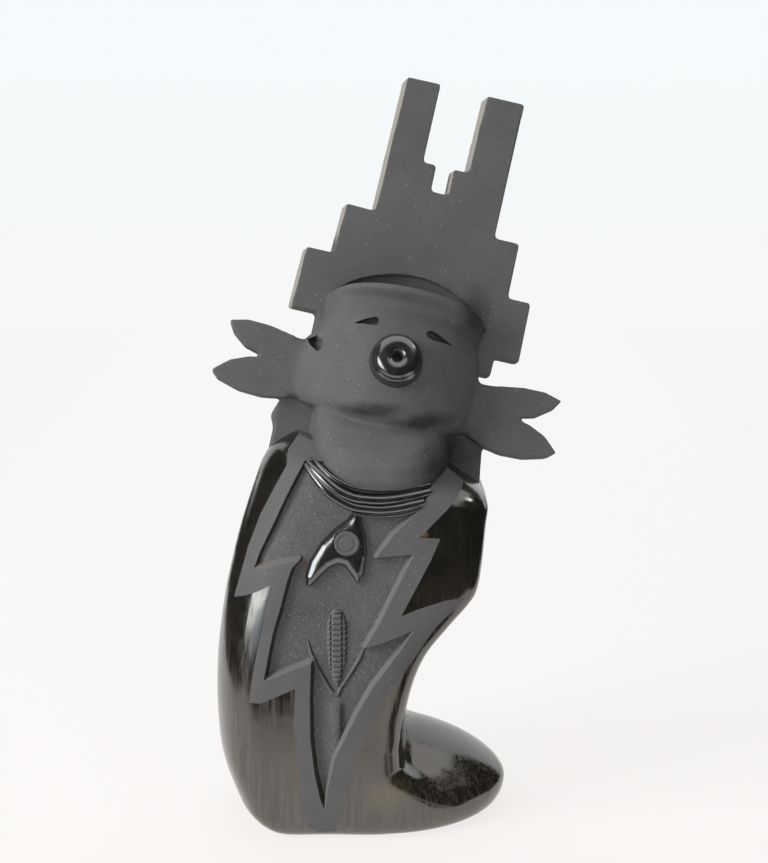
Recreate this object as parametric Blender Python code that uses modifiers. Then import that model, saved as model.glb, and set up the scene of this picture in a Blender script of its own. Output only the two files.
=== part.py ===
"""Carved blackware pottery kachina figure: one fired piece of clay.

The body is a loft of tilted sections on a broad oval foot.  The mask, its forked ears and the
stepped headboard share one head frame that rolls, leans back and turns on the neck.
Frame: metres, +Z up, origin on the standing surface under the middle of the foot, front to -Y.
Numbers below are millimetres and degrees; MM turns them into metres.
"""
import math

import bmesh
import bpy
from mathutils import Matrix, Vector
from mathutils.bvhtree import BVHTree

MM = 0.001

# ---- body: stations from the foot to the shoulders --------------------------------------
# left edge x, z; right edge x, z; front y, back y; how square the right corner is
BODY_STATIONS = (
    (-41.8, 0, 13.5, 0, -33.6, 30, 5.0),
    (-47.1, 10, 12.6, 10, -33.9, 30, 5.0),
    (-52.0, 25, 11.8, 22, -33.7, 29, 5.0),
    (-53.3, 42, 11.6, 36, -33.0, 27, 5.0),
    (-52.8, 58, 14.6, 52, -32.5, 25, 5.0),
    (-51.2, 72, 19.5, 64, -32.0, 24, 5.0),
    (-49.2, 84, 27.2, 74, -31.5, 23, 5.0),
    (-46.9, 93.8, 33.6, 81.5, -31.1, 22.2, 5.0),
    (-45.7, 98.8, 36.5, 86.5, -30.9, 21.8, 5.0),
    (-43.4, 107, 38.1, 95, -30.5, 21, 5.0),
    (-39.8, 118, 39.3, 107, -30.0, 20, 5.0),
    (-36.6, 126.7, 40.0, 113.8, -29.4, 19.4, 4.5),
    (-34.2, 131.0, 38.5, 117.4, -27.3, 18.5, 4.0),
    (-30.5, 134.6, 34.5, 121.0, -23.0, 16, 4.0),
    (-25.0, 137.5, 27.0, 126, -16.5, 12, 4.0),
)
STATIONS_LONG = 36
POINTS_ROUND = 64
CROWD_RIGHT = 0.45
SQUARE_LEFT = 2.4

# ---- foot: a broad oval that the body merges into ---------------------------------------
FOOT_CENTRE = (0.5, 5.0)
FOOT_HALF = (47.9, 38.2)
FOOT_HEIGHT = 31.0
FOOT_BLEND = 7.0
FOOT_BLEND_AHEAD = 0.96
AHEAD_FULL = 0.74
STEEP_FROM = 0.42
STEEP_RUN = 0.26
FOOT_STEEP = (1.5, 3.6)
FOOT_CROWN = 0.62
SMALLEST_HALF = 0.01
HEEL_ROUND = (7.0, 9.0)

# ---- head frame --------------------------------------------------------------------------
HEAD_ORIGIN = (10.2, 6.3, 163.6)
HEAD_ROLL = 14.0
HEAD_LEAN = 17.0
HEAD_TURN = 6.0

# ---- headboard: stepped outline in u, v ----------------------------------------------------
BOARD_THICK = 6.5
BOARD_OUTLINE = (
    (-5.2, 93.4), (-5.5, 65.1), (-0.7, 65.1), (-0.7, 55.8), (4.4, 55.8), (4.4, 65.1), (9.5, 65.1),
    (10.3, 93.0), (24.8, 93.2), (24.3, 44.9), (33.2, 44.9), (33.2, 25.4), (41.3, 25.4), (41.5, 4.0),
    (33.0, 4.0), (32.8, -3.0), (27.8, -3.0), (27.8, -19.0), (34.0, -19.0), (37.5, -44.0),
    (-36.2, -44.0), (-36.2, -35.5), (-38.0, -31.5), (-33.8, -19.0), (-27.8, -19.0), (-27.8, -3.0),
    (-30.4, -3.0), (-30.4, 5.6), (-40.2, 5.6), (-39.4, 27.2), (-30.0, 27.2), (-29.3, 45.0),
    (-19.2, 44.6), (-18.2, 93.0),
)

# ---- forked ears: outline on the +u side -------------------------------------------------
EAR_THICK = 7.0
EAR_FRONT = -4.5
EAR_OUTLINE = (
    (20.0, -6.5), (28.0, -5.8), (36.0, -5.0), (44.0, -3.6), (52.0, -3.3), (58.2, -4.9),
    (55.8, -8.8), (51.0, -12.4), (43.2, -14.4), (49.0, -15.4), (55.0, -18.0), (60.3, -22.7),
    (57.5, -25.2), (50.0, -27.3), (42.0, -27.7), (35.0, -26.5), (27.0, -23.2), (20.0, -20.5),
)
EAR_ROLL = 1.0

# ---- mask: side height v, bow of the front, half width, depth in front of the board ---------
MASK_STATIONS = (
    (-26.5, -3.5, 17.0, 11.0),
    (-24.6, -4.0, 22.5, 18.0),
    (-22.0, -3.6, 25.0, 21.8),
    (-18.0, -2.8, 26.0, 22.8),
    (-10.0, -1.0, 26.6, 22.8),
    (0.0, 0.5, 26.6, 20.4),
    (4.5, 2.0, 26.4, 18.4),
    (7.4, 3.4, 26.4, 16.9),
    (9.2, 4.2, 26.6, 17.9),
    (11.2, 4.8, 27.2, 21.6),
    (12.6, 5.0, 26.8, 21.6),
    (13.8, 4.9, 23.5, 15.8),
    (15.0, 4.2, 19.5, 10.5),
    (17.0, 2.4, 13.0, 4.0),
)
MASK_SQUARE = 2.15
MASK_FLARE = (10.0, 4.0)
FLARE_TOP = 2.0
FLARE_FADE = 8.0
MASK_BACK = 4.4
ROUND_POINTS = 32

# ---- crescent hollow in the board above the visor -----------------------------------------
CRESCENT_DEEP = 3.0
CRESCENT_AHEAD = 3.0
CRESCENT_OUTLINE = (
    (-25.0, 15.5), (-18.3, 20.6), (-7.0, 24.8), (3.6, 25.6), (12.9, 23.6), (21.0, 19.4),
    (27.6, 13.3), (28.2, 12.0), (26.5, 10.5), (20.0, 6.0), (-20.0, 10.0),
)

# ---- snout, eyes -------------------------------------------------------------------------
SNOUT_PLACE = (-1.5, -17.0, -8.1)
SNOUT_UP = 6.5
SNOUT_TURN = 4.0
SNOUT_PROFILE = (
    (0, 4.6), (1.8, 4.6), (1.95, 11.6), (2.6, 12.5), (4.4, 13.1), (6.5, 12.5),
    (7.5, 10.8), (8.0, 9.5), (8.6, 7.0), (9.0, 4.0), (9.6, 0), (0, 0),
)
EYES = (((-9.6, 5.1), (-17.6, 2.7)), ((6.4, 4.5), (16.2, 2.3)))
EYE_HALF = 1.3
EYE_REACH = (-30.0, -14.0)
EYE_STEPS = (
    (0, 0), (0.08, 0.8), (0.3, 1), (0.65, 0.6), (1, 0), (0.65, -0.5), (0.3, -1), (0.08, -0.8),
)

# ---- neck ruff: middle x, y; half width, depth; height at the left, the front, the right ----
RUFF_ROWS = (
    (3.5, -2.0, 21.0, 20.0, 129.0, 115.0, 121.0),
    (3.5, -3.0, 23.4, 25.6, 135.5, 122.0, 127.5),
    (3.6, -3.0, 23.2, 27.2, 136.5, 125.5, 129.5),
    (3.8, -3.0, 22.8, 27.4, 138.5, 130.0, 132.5),
    (3.8, -3.0, 22.4, 24.6, 141.5, 135.0, 136.5),
    (3.8, -3.0, 22.0, 19.5, 145.5, 139.5, 141.0),
    (4.2, -3.0, 21.4, 14.5, 149.5, 144.0, 145.0),
    (5.0, -2.0, 20.0, 11.0, 154.0, 149.5, 150.0),
)
RUFF_SQUARE = 2.6
RUFF_FALL = 1.5

# ---- nape: the plain hump that carries the board down into the back ------------------------
NAPE_CENTRE = (4.0, 2.5, 126.0)
NAPE_RADII = (26.0, 16.0, 31.0)
NAPE_ROLL = 12.0
NAPE_RINGS = (28, 16)

# ---- front panel: sunk between two lightning bands ----------------------------------------
PANEL_DEEP = 2.6
PANEL_REACH = (-60.0, -6.0)
PANEL_OUTLINE = (
    (-22.0, 130.5), (-27.5, 119.5), (-33.0, 108.0), (-38.5, 94.5), (-23.2, 99.0),
    (-26.2, 97.0), (-32.0, 74.0), (-35.3, 57.3), (-19.4, 63.7), (-20.0, 50.0),
    (-19.8, 35.0), (-18.0, 22.0), (-15.0, 11.5), (-14.2, 20.0), (-11.8, 29.5),
    (-4.0, 46.0), (1.0, 55.3), (15.0, 75.0), (-1.2, 69.0), (3.7, 77.3),
    (14.9, 101.0), (2.4, 100.0), (8.0, 107.7), (19.0, 119.0), (21.0, 124.0),
    (0.0, 132.0),
)

# ---- necklace: radius and route x, z of each strand, from shoulder to shoulder -------------
STRANDS = (
    (1.0, (
        (-18.5, 131.5), (-12.8, 127.0), (-6.2, 123.7), (-1.0, 122.5), (6.0, 122.0), (13.0, 122.4),
        (20.2, 123.2),
    )),
    (1.7, (
        (-19.8, 130.3), (-16.0, 127.1), (-10.5, 122.8), (-6.2, 120.6), (-1.0, 119.6), (6.0, 119.4),
        (13.0, 120.1), (20.2, 121.4),
    )),
    (1.6, (
        (-20.3, 129.3), (-14.3, 123.0), (-9.0, 119.0), (-3.0, 116.8), (3.6, 116.2), (10.1, 116.8),
        (18.1, 118.6),
    )),
    (0.8, ((-4.5, 115.1), (-1.3, 114.3), (3.7, 114.3), (10.1, 114.8), (17.5, 117.0))),
)
STRAND_SUNK = 0.35

# ---- pendant, corn ear and husk on the panel ----------------------------------------------
PENDANT_OUTLINE = (
    (-5.0, 114.0), (-11.2, 109.3), (-15.8, 104.7), (-19.6, 98.5), (-21.2, 93.2),
    (-20.8, 89.7), (-16.0, 93.1), (-12.9, 96.0), (-10.3, 97.2), (-8.2, 96.7),
    (-3.9, 90.4), (-1.6, 94.0), (-0.5, 100.4), (-1.0, 106.7), (-2.4, 114.0),
)
PENDANT_FRONT = 2.7
DISC_PLACE = (-7.3, 104.7)
DISC_R = 4.3
DISC_FRONT = 2.9
DISC_POINTS = 20
CORN_OUTLINE = (
    (-10.7, 82.0), (-13.4, 78.6), (-14.0, 72.0), (-13.6, 62.0), (-11.4, 55.2),
    (-10.2, 55.2), (-8.0, 62.0), (-7.5, 72.0), (-8.1, 78.6),
)
CORN_FRONT = 1.2
HUSK_LINE = (
    (-20.6, 72.0), (-18.6, 65.0), (-15.6, 58.8), (-12.0, 53.6), (-9.2, 55.2),
    (-6.0, 59.5), (-2.8, 65.2), (-1.3, 69.0),
)
HUSK_R = 0.9
RELIEF_SUNK = 2.5


def smooth_value(values, place):
    """Catmull-Rom value at a place between 0 and len(values) - 1."""
    last = len(values) - 1
    i = min(int(place), last - 1)
    t = place - i
    p0 = values[max(i - 1, 0)]
    p1 = values[i]
    p2 = values[i + 1]
    p3 = values[min(i + 2, last)]
    bend = 2 * p0 - 5 * p1 + 4 * p2 - p3
    twist = -p0 + 3 * p1 - 3 * p2 + p3
    return p1 + 0.5 * t * (p2 - p0 + t * (bend + t * twist))


def smooth_max(a, b, width):
    gap = max(width - abs(a - b), 0.0) / width
    return max(a, b) + gap * gap * width / 4


def oval_reach(start, heading, centre, half):
    """Distance from start along heading to an oval, or 0 when the line misses it."""
    sx = (start[0] - centre[0]) / half[0]
    sy = (start[1] - centre[1]) / half[1]
    dx = heading[0] / half[0]
    dy = heading[1] / half[1]
    a = dx * dx + dy * dy
    b = sx * dx + sy * dy
    c = sx * sx + sy * sy - 1
    root = b * b - a * c
    return (math.sqrt(root) - b) / a if root > 0 else 0.0


def foot_steepness(ahead):
    """How upright the side of the foot is: soft at the sides, steep where it faces ahead."""
    return FOOT_STEEP[0] + FOOT_STEEP[1] * min(max((ahead - STEEP_FROM) / STEEP_RUN, 0), 1) ** 2


def body_point(place, angle):
    """Point of the body in millimetres; angle 0 is the right edge, 90 degrees the back."""
    lx, lz, rx, rz, front, back, square_right = (
        smooth_value([station[i] for station in BODY_STATIONS], place) for i in range(7)
    )
    across = math.cos(angle)
    deep = math.sin(angle)
    square = (square_right + SQUARE_LEFT) / 2 + (square_right - SQUARE_LEFT) / 2 * across
    ca = math.copysign(abs(across) ** (2 / square), across)
    sa = math.copysign(abs(deep) ** (2 / square), deep)
    x = (lx + rx) / 2 + (rx - lx) / 2 * ca
    z = (lz + rz) / 2 + (rz - lz) / 2 * ca
    y = (front + back) / 2 + (back - front) / 2 * sa
    centre = ((lx + rx) / 2, (front + back) / 2)
    reach = math.hypot(x - centre[0], y - centre[1])
    heading = ((x - centre[0]) / reach, (y - centre[1]) / reach)
    if z < FOOT_HEIGHT:
        rise = max(z - HEEL_ROUND[1], 0) / (FOOT_HEIGHT - HEEL_ROUND[1])
        ahead = min(max(-heading[1], 0), 1)
        shrink = (1 - rise ** foot_steepness(ahead)) ** FOOT_CROWN
        half = (FOOT_HALF[0] * shrink + SMALLEST_HALF, FOOT_HALF[1] * shrink + SMALLEST_HALF)
        blend = FOOT_BLEND * (1 - FOOT_BLEND_AHEAD * min(ahead / AHEAD_FULL, 1) ** 2)
        reach = smooth_max(reach, oval_reach(centre, heading, FOOT_CENTRE, half), blend)
    if z < HEEL_ROUND[1]:
        drop = 1 - z / HEEL_ROUND[1]
        reach -= HEEL_ROUND[0] * (1 - math.sqrt(max(1 - drop * drop, 0)))
    return Vector((centre[0] + heading[0] * reach, centre[1] + heading[1] * reach, z)) * MM


def loft(name, rings):
    """A closed solid through rings of points, with a flat face on each end."""
    mesh = bmesh.new()
    loops = [[mesh.verts.new(point) for point in ring] for ring in rings]
    for low, high in zip(loops, loops[1:]):
        for i in range(len(low)):
            j = (i + 1) % len(low)
            mesh.faces.new((low[i], low[j], high[j], high[i]))
    mesh.faces.new(list(reversed(loops[0])))
    mesh.faces.new(loops[-1])
    bmesh.ops.recalc_face_normals(mesh, faces=mesh.faces)
    return mesh_object(name, mesh)


def mesh_object(name, mesh):
    data = bpy.data.meshes.new(name)
    mesh.to_mesh(data)
    mesh.free()
    return bpy.data.objects.new(name, data)


def build_body(name):
    last = len(BODY_STATIONS) - 1
    rings = []
    for row in range(STATIONS_LONG + 1):
        place = last * row / STATIONS_LONG
        turns = [2 * math.pi * i / POINTS_ROUND for i in range(POINTS_ROUND)]
        rings.append([body_point(place, turn - CROWD_RIGHT * math.sin(turn)) for turn in turns])
    return loft(name, rings)


def panel_front(x, z, proud):
    """Point on the sunk panel at x, z, standing proud of its floor."""
    hit = body_front(x, z)
    return Vector((x * MM, hit + (PANEL_DEEP - proud) * MM, z * MM))


def body_front(x, z):
    """Front y of the body, in metres, where a line along +Y meets it at x, z."""
    found, _, _, _ = BODY_TREE.ray_cast(Vector((x * MM, -0.2, z * MM)), Vector((0, 1, 0)))
    return found.y


def plate(name, outline, near, far, frame=None):
    """A flat outline in x, z, or in u, v of a frame, filled from depth near to depth far."""
    curve = bpy.data.curves.new(name, "CURVE")
    curve.dimensions = "2D"
    curve.fill_mode = "BOTH"
    curve.extrude = (far - near) / 2 * MM
    spline = curve.splines.new("POLY")
    spline.points.add(len(outline) - 1)
    for point, (u, v) in zip(spline.points, outline):
        point.co = (u * MM, v * MM, 0, 1)
    spline.use_cyclic_u = True
    middle = Matrix.Translation((0, (near + far) / 2 * MM, 0))
    upright = middle @ Matrix.Rotation(math.pi / 2, 4, "X")
    return made_mesh(bpy.data.objects.new(name, curve), (frame or Matrix()) @ upright)


def tube(name, points, radius, frame=None):
    """A round bar along points given in metres."""
    curve = bpy.data.curves.new(name, "CURVE")
    curve.dimensions = "3D"
    curve.bevel_depth = radius * MM
    curve.bevel_resolution = 1
    curve.use_fill_caps = True
    spline = curve.splines.new("POLY")
    spline.points.add(len(points) - 1)
    for point, place in zip(spline.points, points):
        point.co = (*place, 1)
    return made_mesh(bpy.data.objects.new(name, curve), frame or Matrix())


def made_mesh(source, place):
    """The mesh of a curve object, with its caps welded, set at a place."""
    bpy.context.scene.collection.objects.link(source)
    bpy.context.view_layer.update()
    graph = bpy.context.evaluated_depsgraph_get()
    mesh = bmesh.new()
    mesh.from_mesh(bpy.data.meshes.new_from_object(source.evaluated_get(graph)))
    bmesh.ops.remove_doubles(mesh, verts=mesh.verts, dist=0.00001)
    bmesh.ops.dissolve_limit(mesh, angle_limit=math.radians(0.5), verts=mesh.verts, edges=mesh.edges)
    bmesh.ops.transform(mesh, matrix=place, verts=mesh.verts)
    bmesh.ops.recalc_face_normals(mesh, faces=mesh.faces)
    name = source.name
    bpy.data.objects.remove(source)
    return mesh_object(name, mesh)


def combine(target, tool, operation, solver="EXACT"):
    """Join or cut the figure with a tool, which goes to the cutters' collection."""
    CUTTERS.objects.link(tool)
    tool.hide_render = True
    tool.hide_set(True)
    tool.display_type = "WIRE"
    step = target.modifiers.new(tool.name, "BOOLEAN")
    step.operation = operation
    step.solver = solver
    step.object = tool


def oval_point(angle, half, deep, square):
    """Across and ahead of a squared oval; ahead is forward of its middle."""
    across = math.cos(angle)
    ahead = math.sin(angle)
    return (
        half * math.copysign(abs(across) ** (2 / square), across),
        deep * math.copysign(abs(ahead) ** (2 / square), ahead),
    )


def build_mask(name):
    """A half barrel in front of the board, from the chin to the rim of the visor."""
    rings = []
    for v, bow, half, deep in MASK_STATIONS:
        ring = []
        for i in range(ROUND_POINTS):
            angle = 2 * math.pi * i / ROUND_POINTS
            u, ahead = oval_point(angle, half, deep, MASK_SQUARE)
            flare = (-MASK_FLARE[0] if u < 0 else MASK_FLARE[1]) * min(max(1 - ahead / deep, 0), 1) ** 2
            flare *= min(max((FLARE_TOP - v) / FLARE_FADE, 0), 1)
            rise = bow * max(math.sin(angle), 0)
            ring.append(HEAD @ (Vector((u + flare, min(-ahead, MASK_BACK), v + rise)) * MM))
        rings.append(ring)
    return loft(name, rings)


def build_ruff(name):
    """A low collar under the chin that dips at the front."""
    rings = []
    for x, y, half, deep, left, middle, right in RUFF_ROWS:
        ring = []
        for i in range(ROUND_POINTS):
            angle = 2 * math.pi * i / ROUND_POINTS
            across, ahead = oval_point(angle, half, deep, RUFF_SQUARE)
            side = (left + right) / 2 + (right - left) / 2 * math.cos(angle)
            fall = max(math.sin(angle), 0) ** RUFF_FALL
            ring.append(Vector((x + across, y - ahead, side + (middle - side) * fall)) * MM)
        rings.append(ring)
    return loft(name, rings)


def turned(name, profile, frame):
    """A solid turned about its own Z from a profile of radius and height, top to bottom."""
    mesh = bmesh.new()
    points = [mesh.verts.new((r * MM, 0, h * MM)) for r, h in profile]
    for high, low in zip(points, points[1:]):
        mesh.edges.new((high, low))
    solid = mesh_object(name, mesh)
    screw = solid.modifiers.new("Turn", "SCREW")
    screw.steps = 32
    screw.render_steps = 32
    screw.use_merge_vertices = True
    screw.merge_threshold = 0.00001
    return made_mesh(solid, frame)


def ball(name, centre, radii, frame):
    mesh = bmesh.new()
    bmesh.ops.create_uvsphere(mesh, u_segments=NAPE_RINGS[0], v_segments=NAPE_RINGS[1], radius=1.0)
    size = Matrix.Diagonal((*[r * MM for r in radii], 1))
    place = Matrix.Translation(Vector(centre) * MM) @ frame @ size
    bmesh.ops.transform(mesh, matrix=place, verts=mesh.verts)
    return mesh_object(name, mesh)


def tilt(axis, angle):
    return Matrix.Rotation(math.radians(angle), 4, axis)


def eye_outline(inner, outer):
    """A slit that is blunt towards the nose and runs out to a point."""
    along = Vector((outer[0] - inner[0], outer[1] - inner[1]))
    side = along.orthogonal().normalized() * EYE_HALF
    start = Vector(inner)
    return [start + along * far + side * wide for far, wide in EYE_STEPS]


# ==== assembly =============================================================================
for old in list(bpy.data.objects):
    bpy.data.objects.remove(old)

FIGURE = bpy.data.collections.new("kachina_figure")
CUTTERS = bpy.data.collections.new("shaping_tools")
for group in (FIGURE, CUTTERS):
    bpy.context.scene.collection.children.link(group)

HEAD = (
    Matrix.Translation(Vector(HEAD_ORIGIN) * MM)
    @ tilt("Z", HEAD_TURN) @ tilt("X", -HEAD_LEAN) @ tilt("Y", HEAD_ROLL)
)

figure = build_body("kachina_figure")
FIGURE.objects.link(figure)
shape = bmesh.new()
shape.from_mesh(figure.data)
BODY_TREE = BVHTree.FromBMesh(shape)
shape.free()

# sunk panel: the outline goes in as far as a copy of the body set back by the depth
panel = plate("panel_outline", PANEL_OUTLINE, *PANEL_REACH)
floor = build_body("panel_floor")
floor.data.transform(Matrix.Translation((0, PANEL_DEEP * MM, 0)))
combine(panel, floor, "DIFFERENCE")
combine(figure, panel, "DIFFERENCE")

# neck, headboard with its crescent hollow, mask, ears
combine(figure, build_ruff("neck_ruff"), "UNION")
combine(figure, ball("nape", NAPE_CENTRE, NAPE_RADII, tilt("Y", NAPE_ROLL)), "UNION")
board = plate("headboard", BOARD_OUTLINE, 0, BOARD_THICK, HEAD)
hollow = plate("crescent", CRESCENT_OUTLINE, -CRESCENT_AHEAD, CRESCENT_DEEP, HEAD)
combine(board, hollow, "DIFFERENCE")
combine(figure, board, "UNION")
combine(figure, build_mask("mask"), "UNION", "MANIFOLD")
for name, side in (("left_ear", -1), ("right_ear", 1)):
    outline = [(u * side, v) for u, v in EAR_OUTLINE]
    frame = HEAD @ tilt("Y", EAR_ROLL)
    ear = plate(name, outline, EAR_FRONT, EAR_FRONT + EAR_THICK, frame)
    combine(figure, ear, "UNION", "MANIFOLD")

# turned snout with its blind hole, slit eyes
snout_frame = HEAD @ Matrix.Translation(Vector(SNOUT_PLACE) * MM) @ tilt("Z", -SNOUT_TURN)
snout = turned("snout", SNOUT_PROFILE, snout_frame @ tilt("X", 90 - SNOUT_UP))
combine(figure, snout, "UNION", "MANIFOLD")
for name, (inner, outer) in zip(("left_eye", "right_eye"), EYES):
    slit = plate(name, eye_outline(inner, outer), *EYE_REACH, HEAD)
    combine(figure, slit, "DIFFERENCE", "MANIFOLD")

# necklace strands hang from shoulder to shoulder over the panel
for row, (radius, run) in enumerate(STRANDS):
    route = [panel_front(x, z, PANEL_DEEP - STRAND_SUNK * radius) for x, z in run]
    combine(figure, tube(f"necklace_strand_{row + 1}", route, radius), "UNION", "MANIFOLD")

# pendant with its disc, corn ear and husk, raised on the panel
raised = (
    ("pendant", PENDANT_OUTLINE, PENDANT_FRONT),
    ("corn_ear", CORN_OUTLINE, CORN_FRONT),
)
for name, outline, proud in raised:
    centre = outline[len(outline) // 2]
    front = panel_front(*centre, proud).y / MM
    boss = plate(name, outline, front, front + proud + RELIEF_SUNK)
    combine(figure, boss, "UNION", "MANIFOLD")
disc = []
for i in range(DISC_POINTS):
    angle = 2 * math.pi * i / DISC_POINTS
    disc.append((DISC_PLACE[0] + DISC_R * math.cos(angle), DISC_PLACE[1] + DISC_R * math.sin(angle)))
front = panel_front(*DISC_PLACE, DISC_FRONT).y / MM
boss = plate("pendant_disc", disc, front, front + DISC_FRONT)
combine(figure, boss, "UNION", "MANIFOLD")
husk = [panel_front(x, z, 0) for x, z in HUSK_LINE]
combine(figure, tube("husk_edge", husk, HUSK_R), "UNION", "MANIFOLD")

clay = bpy.data.materials.new("blackware_clay")
clay.use_nodes = True
finish = clay.node_tree.nodes["Principled BSDF"]
finish.inputs["Base Color"].default_value = (0.018, 0.017, 0.018, 1)
finish.inputs["Roughness"].default_value = 0.45
finish.inputs["Metallic"].default_value = 0.0
figure.data.materials.append(clay)
figure.data.shade_smooth()
figure.data.set_sharp_from_angle(angle=math.radians(35))
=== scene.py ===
import math

import bmesh
import bpy
import numpy as np
from mathutils import Matrix, Vector
from mathutils.bvhtree import BVHTree


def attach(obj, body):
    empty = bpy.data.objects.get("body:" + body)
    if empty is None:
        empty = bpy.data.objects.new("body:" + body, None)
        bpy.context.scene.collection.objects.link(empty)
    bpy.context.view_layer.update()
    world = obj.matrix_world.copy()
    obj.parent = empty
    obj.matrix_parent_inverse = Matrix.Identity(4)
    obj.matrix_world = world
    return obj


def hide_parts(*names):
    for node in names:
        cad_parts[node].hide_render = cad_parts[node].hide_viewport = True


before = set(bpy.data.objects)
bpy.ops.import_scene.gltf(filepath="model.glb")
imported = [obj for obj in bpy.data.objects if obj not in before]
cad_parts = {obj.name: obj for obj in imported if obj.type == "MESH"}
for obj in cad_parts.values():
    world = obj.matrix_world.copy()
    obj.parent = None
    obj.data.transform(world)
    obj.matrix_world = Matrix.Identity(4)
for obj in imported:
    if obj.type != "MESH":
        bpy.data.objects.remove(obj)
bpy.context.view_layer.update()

MM = 0.001

# ==== Body =================================================================================
# A leaning column of dark clay on a broad oval foot, built up by hand, scraped thin and closed
# at the shoulders.  Its skin is slip rubbed with a polishing stone, then fired black in smoke.
# Stations run from the foot to the shoulders, in millimetres: left edge x, z; right edge x, z;
# front y; back y; how square the right corner is.
BODY_STATIONS = np.array((
    (-41.8, 0, 13.5, 0, -33.6, 30, 9.0),
    (-47.1, 10, 12.6, 10, -33.8, 30, 9.0),
    (-52.0, 25, 11.8, 22, -33.7, 29, 9.0),
    (-53.3, 42, 11.6, 36, -33.0, 27, 8.0),
    (-52.8, 58, 14.6, 52, -32.5, 25, 8.0),
    (-51.2, 72, 19.5, 64, -32.0, 24, 8.0),
    (-49.2, 84, 27.2, 74, -31.5, 23, 8.0),
    (-46.9, 93.8, 33.6, 81.5, -31.1, 22.2, 8.0),
    (-45.7, 98.8, 36.5, 86.5, -30.9, 21.8, 8.0),
    (-43.4, 107, 38.1, 95, -30.5, 21, 7.0),
    (-39.8, 118, 39.3, 107, -30.0, 20, 6.0),
    (-37.0, 125.8, 40.1, 113.0, -29.6, 19.5, 5.0),
    (-36.2, 127.6, 39.7, 114.6, -29.1, 19.2, 5.0),
    (-34.2, 131.0, 38.5, 117.4, -27.3, 18.5, 5.0),
    (-32.0, 133.6, 36.4, 119.6, -24.8, 17, 5.0),
    (-29.0, 135.6, 32.6, 122.2, -20.9, 15, 5.0),
    (-25.0, 137.5, 27.0, 126, -16.5, 12, 5.0),
))
# the left corner is softer, and the same all the way up
SQUARE_LEFT = 2.4
FOOT_CENTRE = np.array((0.5, 5.0))
FOOT_HALF = np.array((47.7, 38.0))
FOOT_HEIGHT, FOOT_BLEND = 31.0, 7.0
# the foot's top is a dome whose edge is steeper towards the front, where the body runs into it
FOOT_DOME = 0.62
FOOT_STEEP = (1.5, 3.6)
STEEP_FROM, STEEP_RUN = 0.42, 0.26
AHEAD_FULL, AHEAD_TIGHTER = 0.74, 0.96
HEEL_REACH, HEEL_HEIGHT = 7.0, 9.0
COLUMNS, FRONT_CROWD = 250, 1.6
QUARTER_POINTS, CORNER_CROWD = 240, 4
PLACES_TRIED = 3201
# rows of the skin: from a height, up to a height, in steps of so many millimetres
ROW_BANDS = ((0, 8, 0.6), (8, 22, 0.9), (22, 31.5, 0.26), (31.5, 126, 0.9), (126, 131.7, 0.45))
# the crook where the foot leaves the column: its box, and the strokes over ever less of it
CROOK_X, CROOK_BACK, CROOK_Z = (2, 42), 14, (7, 34)
CROOK_INSETS, CROOK_STROKES = (0, 3, 6), 16


def between(p0, p1, p2, p3, t):
    """Part of the way from p1 to p2, on a smooth curve through all four."""
    bend = 2 * p0 - 5 * p1 + 4 * p2 - p3
    twist = -p0 + 3 * p1 - 3 * p2 + p3
    return p1 + 0.5 * t * (p2 - p0 + t * (bend + t * twist))


def station_values(place):
    """The station numbers at a place along the body, on a smooth curve through them."""
    last = len(BODY_STATIONS) - 1
    i = min(int(place), last - 1)
    four = (BODY_STATIONS[min(max(i + k, 0), last)] for k in (-1, 0, 1, 2))
    return between(*four, place - i)


def body_ring(place, angles):
    """Points round the body in millimetres; angle 0 is the right edge, a quarter turn the back."""
    lx, lz, rx, rz, front, back, square_right = station_values(place)
    across, deep = np.cos(angles), np.sin(angles)
    square = (square_right + SQUARE_LEFT) / 2 + (square_right - SQUARE_LEFT) / 2 * across
    ca = np.sign(across) * np.abs(across) ** (2 / square)
    sa = np.sign(deep) * np.abs(deep) ** (2 / square)
    z = (lz + rz) / 2 + (rz - lz) / 2 * ca
    away = np.stack(((rx - lx) / 2 * ca, (back - front) / 2 * sa), 1)
    centre = np.array(((lx + rx) / 2, (front + back) / 2))
    reach = np.hypot(*away.T)
    heading = away / reach[:, None]
    rise = np.clip((z - HEEL_HEIGHT) / (FOOT_HEIGHT - HEEL_HEIGHT), 0, 1)
    ahead = np.clip(-heading[:, 1], 0, 1)
    steep = FOOT_STEEP[0] + FOOT_STEEP[1] * np.clip((ahead - STEEP_FROM) / STEEP_RUN, 0, 1) ** 2
    shrink = (1 - rise ** steep) ** FOOT_DOME
    half = FOOT_HALF * shrink[:, None] + 0.01
    start = (centre - FOOT_CENTRE) / half
    along = heading / half
    a, b, c = (along ** 2).sum(1), (start * along).sum(1), (start ** 2).sum(1) - 1
    root = b * b - a * c
    foot = np.where(root > 0, (np.sqrt(np.maximum(root, 0)) - b) / a, 0)
    blend = FOOT_BLEND * (1 - AHEAD_TIGHTER * np.clip(ahead / AHEAD_FULL, 0, 1) ** 2)
    gap = np.maximum(blend - np.abs(reach - foot), 0) / blend
    reach = np.where(z < FOOT_HEIGHT, np.maximum(reach, foot) + gap * gap * blend / 4, reach)
    drop = np.clip(1 - z / HEEL_HEIGHT, 0, 1)
    reach = reach - HEEL_REACH * (1 - np.sqrt(1 - drop * drop))
    return np.column_stack((centre + heading * reach[:, None], z))


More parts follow.
